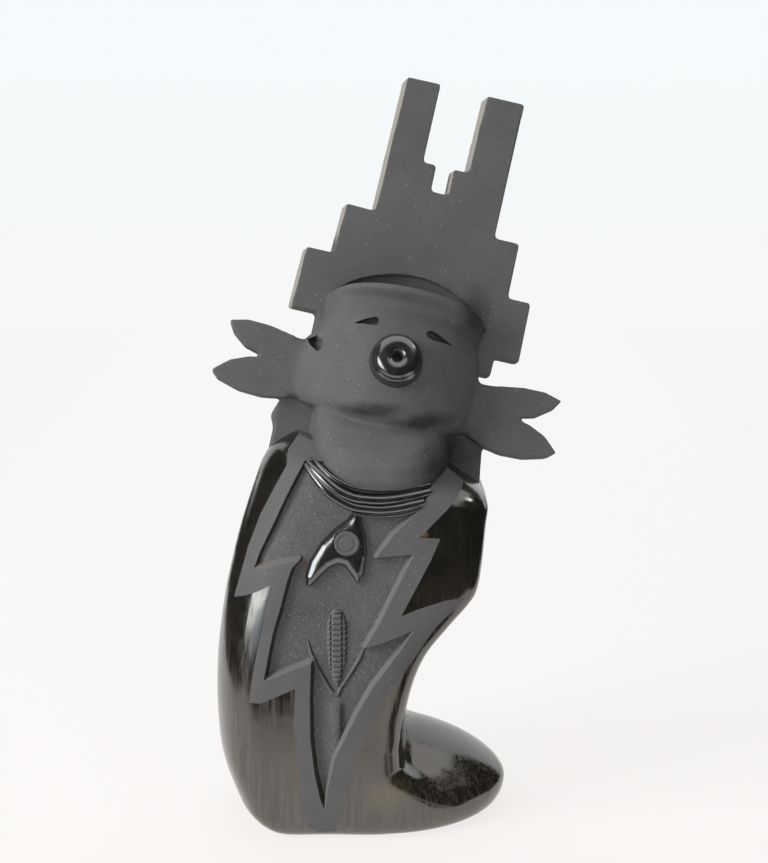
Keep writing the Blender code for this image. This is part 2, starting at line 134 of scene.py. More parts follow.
def even_ring(place):
    """The same ring with its points spread evenly, closer together on the carved front."""
    eighth = np.linspace(0, 1, QUARTER_POINTS) ** CORNER_CROWD * math.pi / 4
    turns = np.unique([k * math.pi / 2 + way * eighth for k in range(5) for way in (-1, 1)])
    turns = turns[(turns >= 0) & (turns <= 2 * math.pi)]
    ring = body_ring(place, turns)
    step = np.linalg.norm(np.diff(ring, axis=0), axis=1)
    step *= np.where(np.sin((turns[1:] + turns[:-1]) / 2) < 0, FRONT_CROWD, 1)
    travel = np.concatenate(((0,), np.cumsum(step)))
    wanted = np.linspace(0, travel[-1], COLUMNS, endpoint=False)
    return body_ring(place, np.interp(wanted, travel, turns))


def body_places():
    """Places along the body whose rows climb in the steps that ROW_BANDS asks for."""
    fine = np.linspace(0, len(BODY_STATIONS) - 1, PLACES_TRIED)
    climb = [(row[1] + row[3]) / 2 for row in map(station_values, fine)]
    heights = [h for low, high, step in ROW_BANDS for h in np.arange(low, high - step / 2, step)]
    return np.interp(heights + [climb[-1]], climb, fine)


def grow(sheet, rings):
    """A closed skin grown from a circle, row by row, through rings of points in millimetres."""
    column = sheet.verts.layers.int.new("column")
    row = bmesh.ops.create_circle(sheet, segments=len(rings[0]), radius=1)["verts"]
    for i, vert in enumerate(row):
        vert[column] = i
    start = rim = list(dict.fromkeys(edge for vert in row for edge in vert.link_edges))
    for n, ring in enumerate(rings):
        if n:
            grown = bmesh.ops.extrude_edge_only(sheet, edges=rim)["geom"]
            row = [g for g in grown if isinstance(g, bmesh.types.BMVert)]
            rim = [g for g in grown if isinstance(g, bmesh.types.BMEdge) and g.is_boundary]
        for vert in row:
            vert.co = Vector(ring[vert[column]]) * MM
    bmesh.ops.contextual_create(sheet, geom=start)
    bmesh.ops.contextual_create(sheet, geom=rim)
    sheet.verts.layers.int.remove(column)
    bmesh.ops.recalc_face_normals(sheet, faces=sheet.faces)


def wipe(sheet, verts, strokes):
    """The clay at some points is wiped smooth with a wet finger."""
    for _ in range(strokes):
        bmesh.ops.smooth_vert(
            sheet, verts=verts, factor=0.5, use_axis_x=True, use_axis_y=True, use_axis_z=True
        )


body = bmesh.new()
grow(body, [even_ring(place) for place in body_places()])
for inset in CROOK_INSETS:
    crook = []
    for vert in body.verts:
        x, y, z = vert.co / MM
        if CROOK_X[0] + inset / 2 < x < CROOK_X[1] - 3 * inset and y < CROOK_BACK - 2 * inset:
            if CROOK_Z[0] + inset / 2 < z < CROOK_Z[1] - inset / 2:
                crook.append(vert)
    wipe(body, crook, CROOK_STROKES)

# ---- outlines cut in the front ------------------------------------------------------------
LEFT_OUTER = (
    (-22.0, 139.0), (-26.9, 133.7), (-27.3, 129.3), (-31.0, 122.7), (-36.2, 112.6),
    (-40.4, 101.5), (-43.7, 90.1), (-45.6, 83.4), (-37.0, 87.8), (-32.8, 90.3), (-33.7, 85.5),
    (-34.9, 78.6), (-36.1, 73.1), (-37.2, 68.3), (-38.5, 62.1), (-39.4, 56.4), (-40.3, 49.7),
    (-36.4, 49.6), (-24.8, 54.8), (-25.4, 41.4), (-24.8, 34.0), (-23.9, 26.1), (-22.2, 11.7),
    (-20.6, 5.6), (-17.5, 2.6),
)
RIGHT_OUTER = (
    (-11.6, 3.0), (-10.6, 8.4), (-7.5, 17.0), (-4.8, 29.0), (0.3, 41.6), (5.0, 50.6), (14.4, 63.6),
    (22.4, 75.8), (28.8, 82.0), (32.0, 85.6), (25.3, 85.1), (16.0, 82.2), (10.7, 79.9),
    (13.6, 85.5), (20.6, 99.2), (23.6, 106.3), (16.9, 106.8), (21.2, 111.3), (25.8, 115.9),
    (31.8, 122.4), (30.0, 128.0), (20.0, 134.0), (0.0, 140.0),
)
LEFT_INNER = (
    (-21.0, 131.5), (-23.8, 126.8), (-27.5, 119.6), (-32.9, 107.9), (-36.3, 100.9), (-38.6, 94.7),
    (-27.8, 98.0), (-23.1, 98.9), (-25.4, 96.6), (-26.9, 92.5), (-29.6, 82.2), (-32.1, 73.7),
    (-33.8, 65.3), (-35.3, 57.3), (-28.1, 60.4), (-19.4, 63.6), (-19.9, 51.0), (-19.8, 37.0),
    (-18.5, 25.0), (-16.6, 15.5),
)
RIGHT_INNER = (
    (-15.0, 11.5), (-14.0, 19.5), (-11.6, 29.6), (-8.1, 37.2), (-4.1, 45.6), (1.0, 54.8),
    (10.4, 67.7), (15.0, 75.1), (5.3, 70.9), (-1.3, 69.0), (3.7, 77.6), (7.7, 86.0),
    (11.9, 94.7), (14.9, 101.1), (8.6, 100.7), (2.4, 100.0), (8.0, 107.2), (12.9, 112.3),
    (19.0, 118.5), (22.0, 124.0), (0.0, 130.0),
)
DESIGN = LEFT_OUTER + RIGHT_OUTER
PANEL = LEFT_INNER + RIGHT_INNER
# how far a sharp point may be moved; how far a face may turn from the front and still be cut;
# and how near, in millimetres, a cut snaps to a point that is already there
POINT_REACH, FACES_FRONT, SNAP = 2.5, -0.12, 0.02


def inside(outline, x, z):
    """Whether x, z lies in an outline."""
    found = False
    for (x0, z0), (x1, z1) in zip(outline, outline[1:] + outline[:1]):
        if (z0 > z) != (z1 > z) and x < x0 + (z - z0) / (z1 - z0) * (x1 - x0):
            found = not found
    return found


def edge_distance(outline, x, z):
    """Distance from x, z to the nearest side of an outline."""
    best = math.inf
    for (x0, z0), (x1, z1) in zip(outline, outline[1:] + outline[:1]):
        dx, dz = x1 - x0, z1 - z0
        t = ((x - x0) * dx + (z - z0) * dz) / (dx * dx + dz * dz)
        t = min(max(t, 0), 1)
        best = min(best, (x0 + t * dx - x) ** 2 + (z0 + t * dz - z) ** 2)
    return math.sqrt(best)


def set_in(outline, distance):
    """The outline moved inwards, with its sharpest points held back."""
    befores, afters = outline[-1:] + outline[:-1], outline[1:] + outline[:1]
    turn = sum(x0 * z1 - x1 * z0 for (x0, z0), (x1, z1) in zip(outline, afters))
    moved = []
    for before, here, after in zip(befores, outline, afters):
        a = (Vector(here) - Vector(before)).normalized()
        b = (Vector(after) - Vector(here)).normalized()
        middle = (a + b).normalized()
        side = Vector((-middle.y, middle.x)) * math.copysign(distance, turn)
        reach = min(1 / max(a.dot(middle), 0.05), POINT_REACH)
        moved.append(tuple(Vector(here) + side * reach))
    return tuple(moved)


def imprint(sheet, outline, reach=1.9):
    """Cuts an outline into a sheet's front faces within reach of it, straight back along Y."""
    live = dict.fromkeys(face for face in sheet.faces if face.normal.y < FACES_FRONT)
    for (x0, z0), (x1, z1) in zip(outline, outline[1:] + outline[:1]):
        along = Vector((x1 - x0, z1 - z0))
        length = along.length
        along /= length
        near = []
        for face in live:
            spot = face.verts[0].co
            dx, dz = spot.x / MM - x0, spot.z / MM - z0
            if -reach < dx * along.x + dz * along.y < length + reach:
                if abs(dx * along.y - dz * along.x) < reach:
                    near.append(face)
        edges, verts = (e for f in near for e in f.edges), (v for f in near for v in f.verts)
        cut = bmesh.ops.bisect_plane(
            sheet, geom=list(dict.fromkeys((*near, *edges, *verts))), dist=SNAP * MM,
            plane_co=(x0 * MM, 0, z0 * MM), plane_no=(along.y, 0, -along.x),
        )
        live.update(dict.fromkeys(g for g in cut["geom"] if isinstance(g, bmesh.types.BMFace)))
    return live


# the panel is sunk by a depth, over a wall whose slope is cut in steps
PANEL_DEEP, WALL = 2.8, 1.2
WALL_STEPS = (0.0, 0.2, 0.55, WALL)
# the top of the shoulders, where the body is nearly level, is left unpolished
TOP_LEVEL, TOP_FROM = 0.92, 110
STALK_X, STALK_TOP, STALK_FOOT, STALK_TOP_FADE, STALK_FOOT_FADE = -10.7, 52.0, 19.0, 4, 12
STALK_HIGH, STALK_HALF, STALK_RIGHT = 1.3, 2.8, 0.7


def stalk(x, z):
    """Height of the soft ridge of the corn stalk under the husk."""
    top = min(max((STALK_TOP - z) / STALK_TOP_FADE, 0), 1)
    foot = min(max((z - STALK_FOOT) / STALK_FOOT_FADE, 0), 1)
    half = STALK_HALF if x < STALK_X else STALK_HALF * STALK_RIGHT
    return STALK_HIGH * top * foot * math.exp(-((x - STALK_X) / half) ** 2)


smooth_body = BVHTree.FromBMesh(body)
imprint(body, DESIGN)
for step in WALL_STEPS:
    front = imprint(body, set_in(PANEL, step) if step else PANEL)
for vert in dict.fromkeys(v for f in front for v in f.verts):
    x, z = vert.co.x / MM, vert.co.z / MM
    if inside(PANEL, x, z):
        t = min(edge_distance(PANEL, x, z) / WALL, 1)
        vert.co.y += (PANEL_DEEP * t * t * (3 - 2 * t) - stalk(x, z) * t) * MM
FINISHES = 5
BURNISHED, BAND, GROUND, BISQUE, POLISHED = range(FINISHES)
body.normal_update()
for face in front:
    x, _, z = face.calc_center_median() / MM
    if inside(PANEL, x, z):
        face.material_index = GROUND
    elif inside(DESIGN, x, z):
        face.material_index = BAND
for face in body.faces:
    if face.normal.z > TOP_LEVEL and face.calc_center_median().z > TOP_FROM * MM:
        face.material_index = BISQUE
body_skin = BVHTree.FromBMesh(body)


def skin_front(x, z, tree=body_skin):
    """Front y of the body in millimetres, where a line along +Y meets it at x, z."""
    found = tree.ray_cast(Vector((x * MM, -0.2, z * MM)), Vector((0, 1, 0)))[0]
    return found.y / MM


def keep_mesh(name, sheet, finish=None):
    """A mesh object out of a bmesh, all of one finish when that is given."""
    if finish is not None:
        for face in sheet.faces:
            face.material_index = finish
    data = bpy.data.meshes.new(name)
    for _ in range(FINISHES):
        data.materials.append(None)
    sheet.to_mesh(data)
    sheet.free()
    return bpy.data.objects.new(name, data)


applied = []

# ==== Necklace =============================================================================
# Four strands of clay laid over the neck end of the panel and rubbed bright with the polishing
# stone.  They run together at the left shoulder and fan out to the right one.
# Each strand: its radius, and the points that its middle passes, from left to right.
STRANDS = (
    (1.0, (
        (-19.1, 132.0), (-16.1, 129.6), (-12.8, 127.0), (-9.5, 125.1), (-6.2, 123.7),
        (-3.0, 122.8), (3.5, 122.0), (10.1, 122.2), (15.1, 122.6), (20.2, 123.2),
    )),
    (1.7, (
        (-20.4, 130.9), (-18.4, 129.1), (-16.0, 127.1), (-12.7, 124.3), (-9.5, 122.1),
        (-6.2, 120.6), (-3.0, 119.8), (3.7, 119.3), (10.2, 119.8), (15.1, 120.5), (20.2, 121.4),
    )),
    (1.6, (
        (-21.0, 130.0), (-17.5, 126.4), (-14.3, 123.0), (-11.0, 120.3), (-6.6, 117.8),
        (-3.0, 116.8), (3.6, 116.2), (10.1, 116.8), (14.0, 117.6), (18.1, 118.6),
    )),
    (0.8, (
        (-5.5, 115.4), (-1.3, 114.3), (3.7, 114.3), (10.1, 114.8), (14.0, 115.7), (17.5, 117.0),
    )),
)
STRAND_THIN, STRAND_END = (0.45, 0.75, 1.0), 0.75
STRAND_SUNK, STRAND_STEPS, STRAND_SIDES = 0.35, 6, 20


def smooth_run(points, steps, closed=False):
    """Points on a smooth curve through the given ones."""
    given = [Vector(p) for p in points]
    count = len(given) if closed else len(given) - 1
    run = []
    for i in range(count):
        if closed:
            four = [given[(i + k) % len(given)] for k in (-1, 0, 1, 2)]
        else:
            four = [given[min(max(i + k, 0), count)] for k in (-1, 0, 1, 2)]
        run += [between(*four, s / steps) for s in range(steps)]
    return run if closed else run + [given[-1]]


for row, (full, route) in enumerate(STRANDS):
    swell = [*STRAND_THIN, *[1.0] * (len(route) - len(STRAND_THIN) - 1), STRAND_END]
    run = smooth_run([(*p, full * s) for p, s in zip(route, swell)], STRAND_STEPS)
    centres = [Vector((x, skin_front(x, z, smooth_body) + STRAND_SUNK * r, z)) for x, z, r in run]
    rings = []
    for i, (centre, (_, _, r)) in enumerate(zip(centres, run)):
        along = (centres[min(i + 1, len(run) - 1)] - centres[max(i - 1, 0)]).normalized()
        across = along.cross(Vector((0, 1, 0))).normalized()
        up = across.cross(along)
        turns = [2 * math.pi * k / STRAND_SIDES for k in range(STRAND_SIDES)]
        rings.append([centre + (across * math.cos(a) + up * math.sin(a)) * r for a in turns])
    strand = bmesh.new()
    grow(strand, rings)
    applied.append(keep_mesh(f"necklace_strand_{row + 1}", strand, POLISHED))

# ==== Pendant ==============================================================================
# A two-lobed boss that hangs from the necklace, laid on as a pad of clay and polished, with a
# small dull disc ringed by a scored line let into it.
PENDANT = (
    (-5.0, 115.0), (-7.2, 112.4), (-11.4, 109.2), (-15.8, 104.7), (-19.6, 98.5), (-21.2, 93.2),
    (-20.8, 89.7), (-18.8, 90.1), (-16.0, 93.1), (-12.9, 96.0), (-10.3, 97.2), (-8.2, 96.7),
    (-6.2, 93.9), (-3.9, 90.4), (-1.6, 94.0), (-0.5, 100.4), (-1.0, 106.7), (-2.2, 111.0),
    (-2.5, 115.0),
)
PENDANT_EDGE, PENDANT_CROWN, PENDANT_ROUND = 0.3, 2.7, 4.0
PENDANT_STEP, PENDANT_RIM = 0.4, 0.35
DISC, DISC_R, DISC_HIGH, DISC_STEP, DISC_SIDES = (-7.3, 104.7), 4.3, 2.4, 0.22, 48
DISC_SEAT, DISC_SEAT_HIGH = 0.2, 1.9
DISC_ROUND, DISC_ROUND_R = 0.3, 0.6
DISC_SCORE, DISC_SCORE_R, DISC_SCORE_HALF = 0.3, 2.7, 0.32
BOSS_ROOT = 3.0


def relief(name, outline, proud, step, finish, rims=()):
    """A boss cut to an outline, standing proud(x, z) off the body, its back sunk in the clay."""
    xs, zs = [p[0] for p in outline], [p[1] for p in outline]
    wide, high = max(xs) - min(xs) + 2 * step, max(zs) - min(zs) + 2 * step
    pad = bmesh.new()
    columns, rows = round(wide / step), round(high / step)
    bmesh.ops.create_grid(pad, x_segments=columns, y_segments=rows, size=0.5)
    middle = Vector(((max(xs) + min(xs)) / 2, 0, (max(zs) + min(zs)) / 2))
    place = Matrix.Translation(middle * MM) @ Matrix.Rotation(math.pi / 2, 4, "X")
    size = Matrix.Diagonal((wide * MM, high * MM, 1, 1))
    bmesh.ops.transform(pad, matrix=place @ size, verts=pad.verts)
    pad.normal_update()
    for cut in (outline, *rims):
        imprint(pad, cut, step * 2)
    waste = [f for f in pad.faces if not inside(outline, *(f.calc_center_median().xz / MM))]
    bmesh.ops.delete(pad, geom=waste, context="FACES")
    for vert in pad.verts:
        x, z = vert.co.xz / MM
        vert.co.y = (skin_front(x, z) - proud(x, z)) * MM
    grown = bmesh.ops.extrude_face_region(pad, geom=list(pad.faces), use_keep_orig=True)["geom"]
    for vert in grown:
        if isinstance(vert, bmesh.types.BMVert):
            vert.co.y = (skin_front(vert.co.x / MM, vert.co.z / MM) + BOSS_ROOT) * MM
    bmesh.ops.recalc_face_normals(pad, faces=pad.faces)
    return keep_mesh(name, pad, finish)


def pendant_proud(x, z):
    """How far the pendant stands off the body: crowned, with a flat seat for the disc."""
    t = min(edge_distance(PENDANT, x, z) / PENDANT_ROUND, 1)
    lift = PENDANT_EDGE + PENDANT_CROWN * math.sqrt(1 - (1 - t) ** 2)
    from_disc = math.hypot(x - DISC[0], z - DISC[1])
    return min(lift, DISC_SEAT_HIGH) if from_disc < DISC_R + DISC_SEAT else lift


def disc_proud(x, z):
    """How far the disc stands off the body: flat, with a rounded rim and a scored ring."""
    from_disc = math.hypot(x - DISC[0], z - DISC[1])
    ring = math.exp(-((from_disc - DISC_SCORE_R) / DISC_SCORE_HALF) ** 2)
    rim = min((DISC_R - from_disc) / DISC_ROUND_R, 1)
    return DISC_HIGH + DISC_ROUND * math.sqrt(max(1 - (1 - rim) ** 2, 0)) - DISC_SCORE * ring


disc_outline = []
for k in range(DISC_SIDES):
    turn = k * math.pi / (DISC_SIDES / 2)
    disc_outline.append((DISC[0] + DISC_R * math.cos(turn), DISC[1] + DISC_R * math.sin(turn)))
pendant_rim = set_in(PENDANT, PENDANT_RIM)
applied += [
    relief("pendant", PENDANT, pendant_proud, PENDANT_STEP, POLISHED, (pendant_rim,)),
    relief("pendant_disc", tuple(disc_outline), disc_proud, DISC_STEP, BAND),
]

# ==== Corn ear =============================================================================
# An ear of corn in low relief, scored into kernels with a fine tool, between two husk leaves
# that meet in a point under it.
CORN = (
    (-11.2, 82.0), (-13.0, 80.6), (-14.0, 77.0), (-14.2, 70.5), (-13.7, 63.0), (-12.2, 57.0),
    (-10.6, 54.6), (-9.2, 57.0), (-7.7, 63.0), (-7.2, 70.5), (-7.5, 77.0), (-8.6, 80.8),
)
CORN_EDGE, CORN_CROWN, CORN_ROUND, CORN_STEP = 0.15, 1.45, 2.4, 0.24
# lines scored along the ear, and across it between the kernels
CORN_LINES, CORN_LINE_HALF, CORN_SCORE = (-12.6, -8.8), 0.32, 0.85
KERNEL_FROM, KERNEL_HIGH, KERNEL_LINE_HALF = 55.2, 1.85, 0.30
HUSK_STEPS, HUSK_SIDES, HUSK_SUNK, HUSK_HALF, HUSK_DEEP = 8, 12, 0.35, 0.85, 1.1
HUSK_TIP, HUSK_SWELL = 0.35, 2.4
HUSK_LEFT = ((-20.8, 72.4), (-18.9, 65.2), (-15.8, 58.8), (-12.6, 53.2), (-10.6, 51.6))
HUSK_RIGHT = ((-1.3, 69.0), (-2.9, 65.0), (-6.0, 59.6), (-9.0, 55.0), (-10.6, 51.6))


def corn_proud(x, z):
    """How far the ear stands off the body: crowned, with its kernels scored in."""
    t = min(edge_distance(CORN, x, z) / CORN_ROUND, 1)
    lift = CORN_EDGE + CORN_CROWN * math.sqrt(1 - (1 - t) ** 2)
    score = max(math.exp(-((x - line) / CORN_LINE_HALF) ** 2) for line in CORN_LINES)
    from_line = (((z - KERNEL_FROM) / KERNEL_HIGH) % 1 - 0.5) * KERNEL_HIGH
    row = math.exp(-(from_line / KERNEL_LINE_HALF) ** 2)
    return lift - CORN_SCORE * max(score, row)


applied.append(relief("corn_ear", CORN, corn_proud, CORN_STEP, GROUND))
for side, line in (("left", HUSK_LEFT), ("right", HUSK_RIGHT)):
    run = smooth_run(line, HUSK_STEPS)
    rings = []
    for i, (x, z) in enumerate(run):
        along = (run[min(i + 1, len(run) - 1)] - run[max(i - 1, 0)]).normalized()
        swell = min(1, HUSK_TIP + HUSK_SWELL * i / len(run))
        centre = Vector((x, skin_front(x, z) + HUSK_SUNK, z))
        across = Vector((along.y, 0, -along.x)) * HUSK_HALF * swell
        ahead = Vector((0, 1, 0)) * HUSK_DEEP * swell
        turns = [2 * math.pi * k / HUSK_SIDES for k in range(HUSK_SIDES)]
        rings.append([centre + across * math.cos(a) + ahead * math.sin(a) for a in turns])
    leaf = bmesh.new()
    grow(leaf, rings)
    applied.append(keep_mesh(f"husk_leaf_{side}", leaf, GROUND))

# ==== Head =================================================================================
# A stepped and pronged headboard, a half-round mask with forked ears, and the neck ruff, cut
# from slabs of the same clay, luted together while damp, and left unpolished.
HEAD_ORIGIN = (10.2, 6.3, 163.6)
HEAD_ROLL, HEAD_LEAN, HEAD_TURN = 14.0, 17.0, 6.0


def tilt(axis, angle):
    """A turn about an axis, in degrees."""
    return Matrix.Rotation(math.radians(angle), 4, axis)


HEAD = (
    Matrix.Translation(Vector(HEAD_ORIGIN) * MM)
    @ tilt("Z", HEAD_TURN) @ tilt("X", -HEAD_LEAN) @ tilt("Y", HEAD_ROLL)
)
BOARD = (
    (-5.2, 93.4), (-5.5, 65.1), (-0.7, 65.1), (-0.7, 55.8), (4.4, 55.8), (4.4, 65.1), (9.5, 65.1),
    (10.3, 93.0), (24.8, 93.2), (24.3, 44.9), (33.2, 44.9), (33.2, 25.4), (41.3, 25.4), (41.5, 4.0),
    (33.0, 4.0), (32.8, -3.0), (27.8, -3.0), (27.8, -19.0), (34.0, -19.0), (37.5, -44.0),
    (-36.2, -44.0), (-36.2, -35.5), (-38.0, -31.5), (-33.8, -19.0), (-27.8, -19.0), (-27.8, -3.0),
    (-30.4, -3.0), (-30.4, 5.6), (-40.2, 5.6), (-39.4, 27.2), (-30.0, 27.2), (-29.3, 45.0),
    (-19.2, 44.6), (-18.2, 93.0),
)
BOARD_THICK, BOARD_ROUND, BOARD_DRAFT, WALL_CLIMB = 6.5, 1.0, 1.0, 4.0
# mask rows from the chin to the crown: height; how far its front bows up; half width; depth
MASK_ROWS = (
    (-26.5, -3.5, 17.0, 11.0),
    (-24.6, -4.0, 22.5, 18.0),
    (-22.0, -3.6, 25.0, 21.8),
    (-18.0, -2.8, 26.0, 22.8),
    (-10.0, -1.0, 26.6, 22.8),
    (0.0, 0.5, 26.6, 20.4),
    (4.5, 2.0, 26.4, 18.4),
    (7.4, 3.4, 26.4, 16.9),
    (9.2, 4.2, 26.6, 17.9),
    (11.2, 4.8, 27.2, 21.6),
    (12.6, 5.0, 26.8, 21.6),
    (13.8, 4.9, 23.5, 15.8),
    (15.0, 4.2, 19.5, 10.5),
    (17.0, 2.4, 13.0, 4.0),
)
MASK_SQUARE, MASK_BACK, MASK_POINTS = 2.15, 4.4, 120
# the lower mask widens towards the board, more on the left; it starts at a height, over a drop
FLARE_LEFT, FLARE_RIGHT, FLARE_FROM, FLARE_DROP = 10.0, 4.0, 2, 8
EAR = (
    (20.0, -6.5), (28.0, -5.8), (36.0, -5.0), (44.0, -3.6), (52.0, -3.3), (58.2, -4.9),
    (55.8, -8.8), (51.0, -12.4), (43.2, -14.4), (49.0, -15.4), (55.0, -18.0), (60.3, -22.7),
    (57.5, -25.2), (50.0, -27.3), (42.0, -27.7), (35.0, -26.5), (27.0, -23.2), (20.0, -20.5),
)
EAR_FRONT, EAR_THICK, EAR_ROLL = -4.5, 7.0, 1.0
# ruff rows: middle x, y; half width, depth; height at the left side, the front, the right side
RUFF_ROWS = (
    (3.5, -2.0, 21.0, 20.0, 129.0, 115.0, 121.0),
    (3.5, -3.0, 23.4, 25.6, 135.5, 122.0, 127.5),
    (3.6, -3.0, 23.2, 27.2, 136.5, 125.5, 129.5),
    (3.8, -3.0, 22.8, 27.4, 138.5, 130.0, 132.5),
    (3.8, -3.0, 22.4, 24.6, 141.5, 135.0, 136.5),
    (3.8, -3.0, 22.0, 19.5, 145.5, 139.5, 141.0),
    (4.2, -3.0, 21.4, 14.5, 149.5, 144.0, 145.0),
    (5.0, -2.0, 20.0, 11.0, 154.0, 149.5, 150.0),
)
RUFF_SQUARE, RUFF_FALL = 2.6, 1.5
NAPE, NAPE_RADII, NAPE_ROLL = (4.0, 2.5, 126.0), (26.0, 16.0, 31.0), 12.0
VOXEL = 0.55
# the roots of the ears and the sides of the mask, which are wiped smooth
FINGER_ACROSS, FINGER_BACK, FINGER_UP, FINGER_STROKES = (17, 36), -0.5, (-25, 12), 40
HEAD_SHARE = 0.44


def slab(sheet, outline, near, far, place=Matrix(), rounded=0.0, draft=0.0):
    """A flat outline in u, v filled between two depths, its corners rounded when asked.

    Draft leans the tall walls on the left, so that they show from the front.
    """
    corners = [sheet.verts.new((u * MM, near * MM, v * MM)) for u, v in outline]
    face = sheet.faces.new(corners)
    grown = bmesh.ops.extrude_face_region(sheet, geom=[face], use_keep_orig=True)["geom"]
    verts = [g for g in grown if isinstance(g, bmesh.types.BMVert)]
    bmesh.ops.translate(sheet, vec=(0, (far - near) * MM, 0), verts=verts)
    for i, (_, v) in enumerate(outline):
        if max(outline[(i + 1) % len(outline)][1] - v, v - outline[i - 1][1]) > WALL_CLIMB:
            corners[i].co.x += draft * MM
    bmesh.ops.transform(sheet, matrix=place, verts=corners + verts)
    if rounded:
        near_rim, far_rim = set(corners), set(verts)
        across = [e for e in sheet.edges if near_rim & set(e.verts) and far_rim & set(e.verts)]
        bmesh.ops.bevel(
            sheet, geom=across, offset=rounded * MM, offset_type="OFFSET", segments=4, profile=0.5,
            affect="EDGES", material=-1,
        )


def oval_row(turns, half, deep, square):
    """Across and ahead of a squared oval; ahead is forward of its middle."""
    across, ahead = np.cos(turns), np.sin(turns)
    return (
        half * np.sign(across) * np.abs(across) ** (2 / square),
        deep * np.sign(ahead) * np.abs(ahead) ** (2 / square),
    )


head = bmesh.new()
turns = np.linspace(0, 2 * math.pi, MASK_POINTS, endpoint=False)
rings = []
for v, bow, half, deep in MASK_ROWS:
    u, ahead = oval_row(turns, half, deep, MASK_SQUARE)
    flare = np.where(u < 0, -FLARE_LEFT, FLARE_RIGHT) * np.clip(1 - ahead / deep, 0, 1) ** 2
    flare *= np.clip((FLARE_FROM - v) / FLARE_DROP, 0, 1)
    bowed = v + bow * np.maximum(np.sin(turns), 0)
    rings.append(np.column_stack((u + flare, np.minimum(-ahead, MASK_BACK), bowed)))
mask = bmesh.new()
grow(mask, rings)
rings = []
for x, y, half, deep, left, middle, right in RUFF_ROWS:
    across, ahead = oval_row(turns, half, deep, RUFF_SQUARE)
    side = (left + right) / 2 + (right - left) / 2 * np.cos(turns)
    fall = np.maximum(np.sin(turns), 0) ** RUFF_FALL
    rings.append(np.column_stack((x + across, y - ahead, side + (middle - side) * fall)))
ruff = bmesh.new()
grow(ruff, rings)
bmesh.ops.transform(ruff, matrix=HEAD.inverted(), verts=ruff.verts)
for part in (mask, ruff):
    head.from_mesh(keep_mesh("part", part).data)
slab(head, BOARD, 0, BOARD_THICK, rounded=BOARD_ROUND, draft=BOARD_DRAFT)
for side in (-1, 1):
    outline = [(u * side, v) for u, v in EAR]
    slab(head, outline, EAR_FRONT, EAR_FRONT + EAR_THICK, tilt("Y", EAR_ROLL))
size = Matrix.Diagonal((*[r * MM for r in NAPE_RADII], 1))
place = HEAD.inverted() @ Matrix.Translation(Vector(NAPE) * MM) @ tilt("Y", NAPE_ROLL) @ size
bmesh.ops.create_uvsphere(head, u_segments=96, v_segments=64, radius=1, matrix=place)
bmesh.ops.recalc_face_normals(head, faces=head.faces)


def finished(source, *steps):
    """The mesh that modifiers make of an object; each step is a kind and its settings."""
    bpy.context.scene.collection.objects.link(source)
    for kind, settings in steps:
        step = source.modifiers.new(kind, kind)
        for name, value in settings.items():
            setattr(step, name, value)
    graph = bpy.context.evaluated_depsgraph_get()
    made = bmesh.new()
    made.from_mesh(bpy.data.meshes.new_from_object(source.evaluated_get(graph)))
    bpy.data.objects.remove(source)
    return made


head = finished(
    keep_mesh("head", head),
    ("REMESH", {"mode": "VOXEL", "voxel_size": VOXEL * MM}),
    ("SMOOTH", {"factor": 0.5, "iterations": 5}),
)
soft = []
for vert in head.verts:
    u, w, v = vert.co / MM
    if FINGER_ACROSS[0] < abs(u) < FINGER_ACROSS[1] and FINGER_UP[0] < v < FINGER_UP[1]:
        if w < FINGER_BACK:
            soft.append(vert)
wipe(head, soft, FINGER_STROKES)
# how much of a hollow's depth its wall and its slope have, where it has a slope
WALL_SHARE, SLOPE_SHARE = 0.3, 0.7


def carve(sheet, outline, deep, wall, steps, behind=-math.inf, slope=None):
    """Sinks the inside of an outline by a depth, over a wall cut in steps, where y is over a limit.

    A slope goes on down from the foot of the wall.
    """
    for k in range(steps + 1):
        front = imprint(sheet, set_in(outline, wall * k / steps) if k else outline, 1.4)
    for vert in dict.fromkeys(v for f in front for v in f.verts):
        x, y, z = vert.co / MM
        if y > behind and inside(outline, x, z):
            away = edge_distance(outline, x, z)
            t = min(away / wall, 1)
            fall = t * t * (3 - 2 * t)
            if slope:
                fall = WALL_SHARE * fall + SLOPE_SHARE * min(away / slope, 1)
            vert.co.y += deep * fall * MM


# crescent hollow over the visor, the small pit at the root of the left ear, and the slit eyes
CRESCENT = (
    (-25.0, 15.5), (-22.0, 18.2), (-18.3, 20.6), (-13.0, 23.0), (-7.0, 24.8), (-1.5, 25.6),
    (3.6, 25.6), (8.5, 24.9), (12.9, 23.6), (17.2, 21.8), (21.0, 19.4), (24.6, 16.4),
    (27.6, 13.3), (28.2, 12.0), (26.5, 10.5), (20.0, 6.0), (-20.0, 10.0),
)
CRESCENT_DEEP, CRESCENT_WALL, CRESCENT_BEHIND, CRESCENT_SLOPE = 4.4, 0.8, -1.2, 5.0
EAR_PIT = (
    (-31.4, -4.2), (-28.6, -2.6), (-26.2, -4.4), (-25.8, -7.2), (-27.6, -8.6), (-30.4, -6.2),
)
EAR_PIT_DEEP, EAR_PIT_WALL = 6.0, 0.6
# each eye runs from its end by the nose to its outer point
EYES = (((-9.6, 5.1), (-17.6, 2.7)), ((6.4, 4.5), (16.2, 2.3)))
EYE_HALF, EYE_DEEP, EYE_WALL, EYE_STEPS = 1.5, 4.0, 0.35, 3
# points round an eye: how far along it, and how wide, over and under its middle line
EYE_SHAPE = (
    (0, 0), (0.05, 0.7), (0.2, 1), (0.6, 0.7), (1, 0), (0.65, -0.35), (0.3, -0.9), (0.07, -0.8),
)


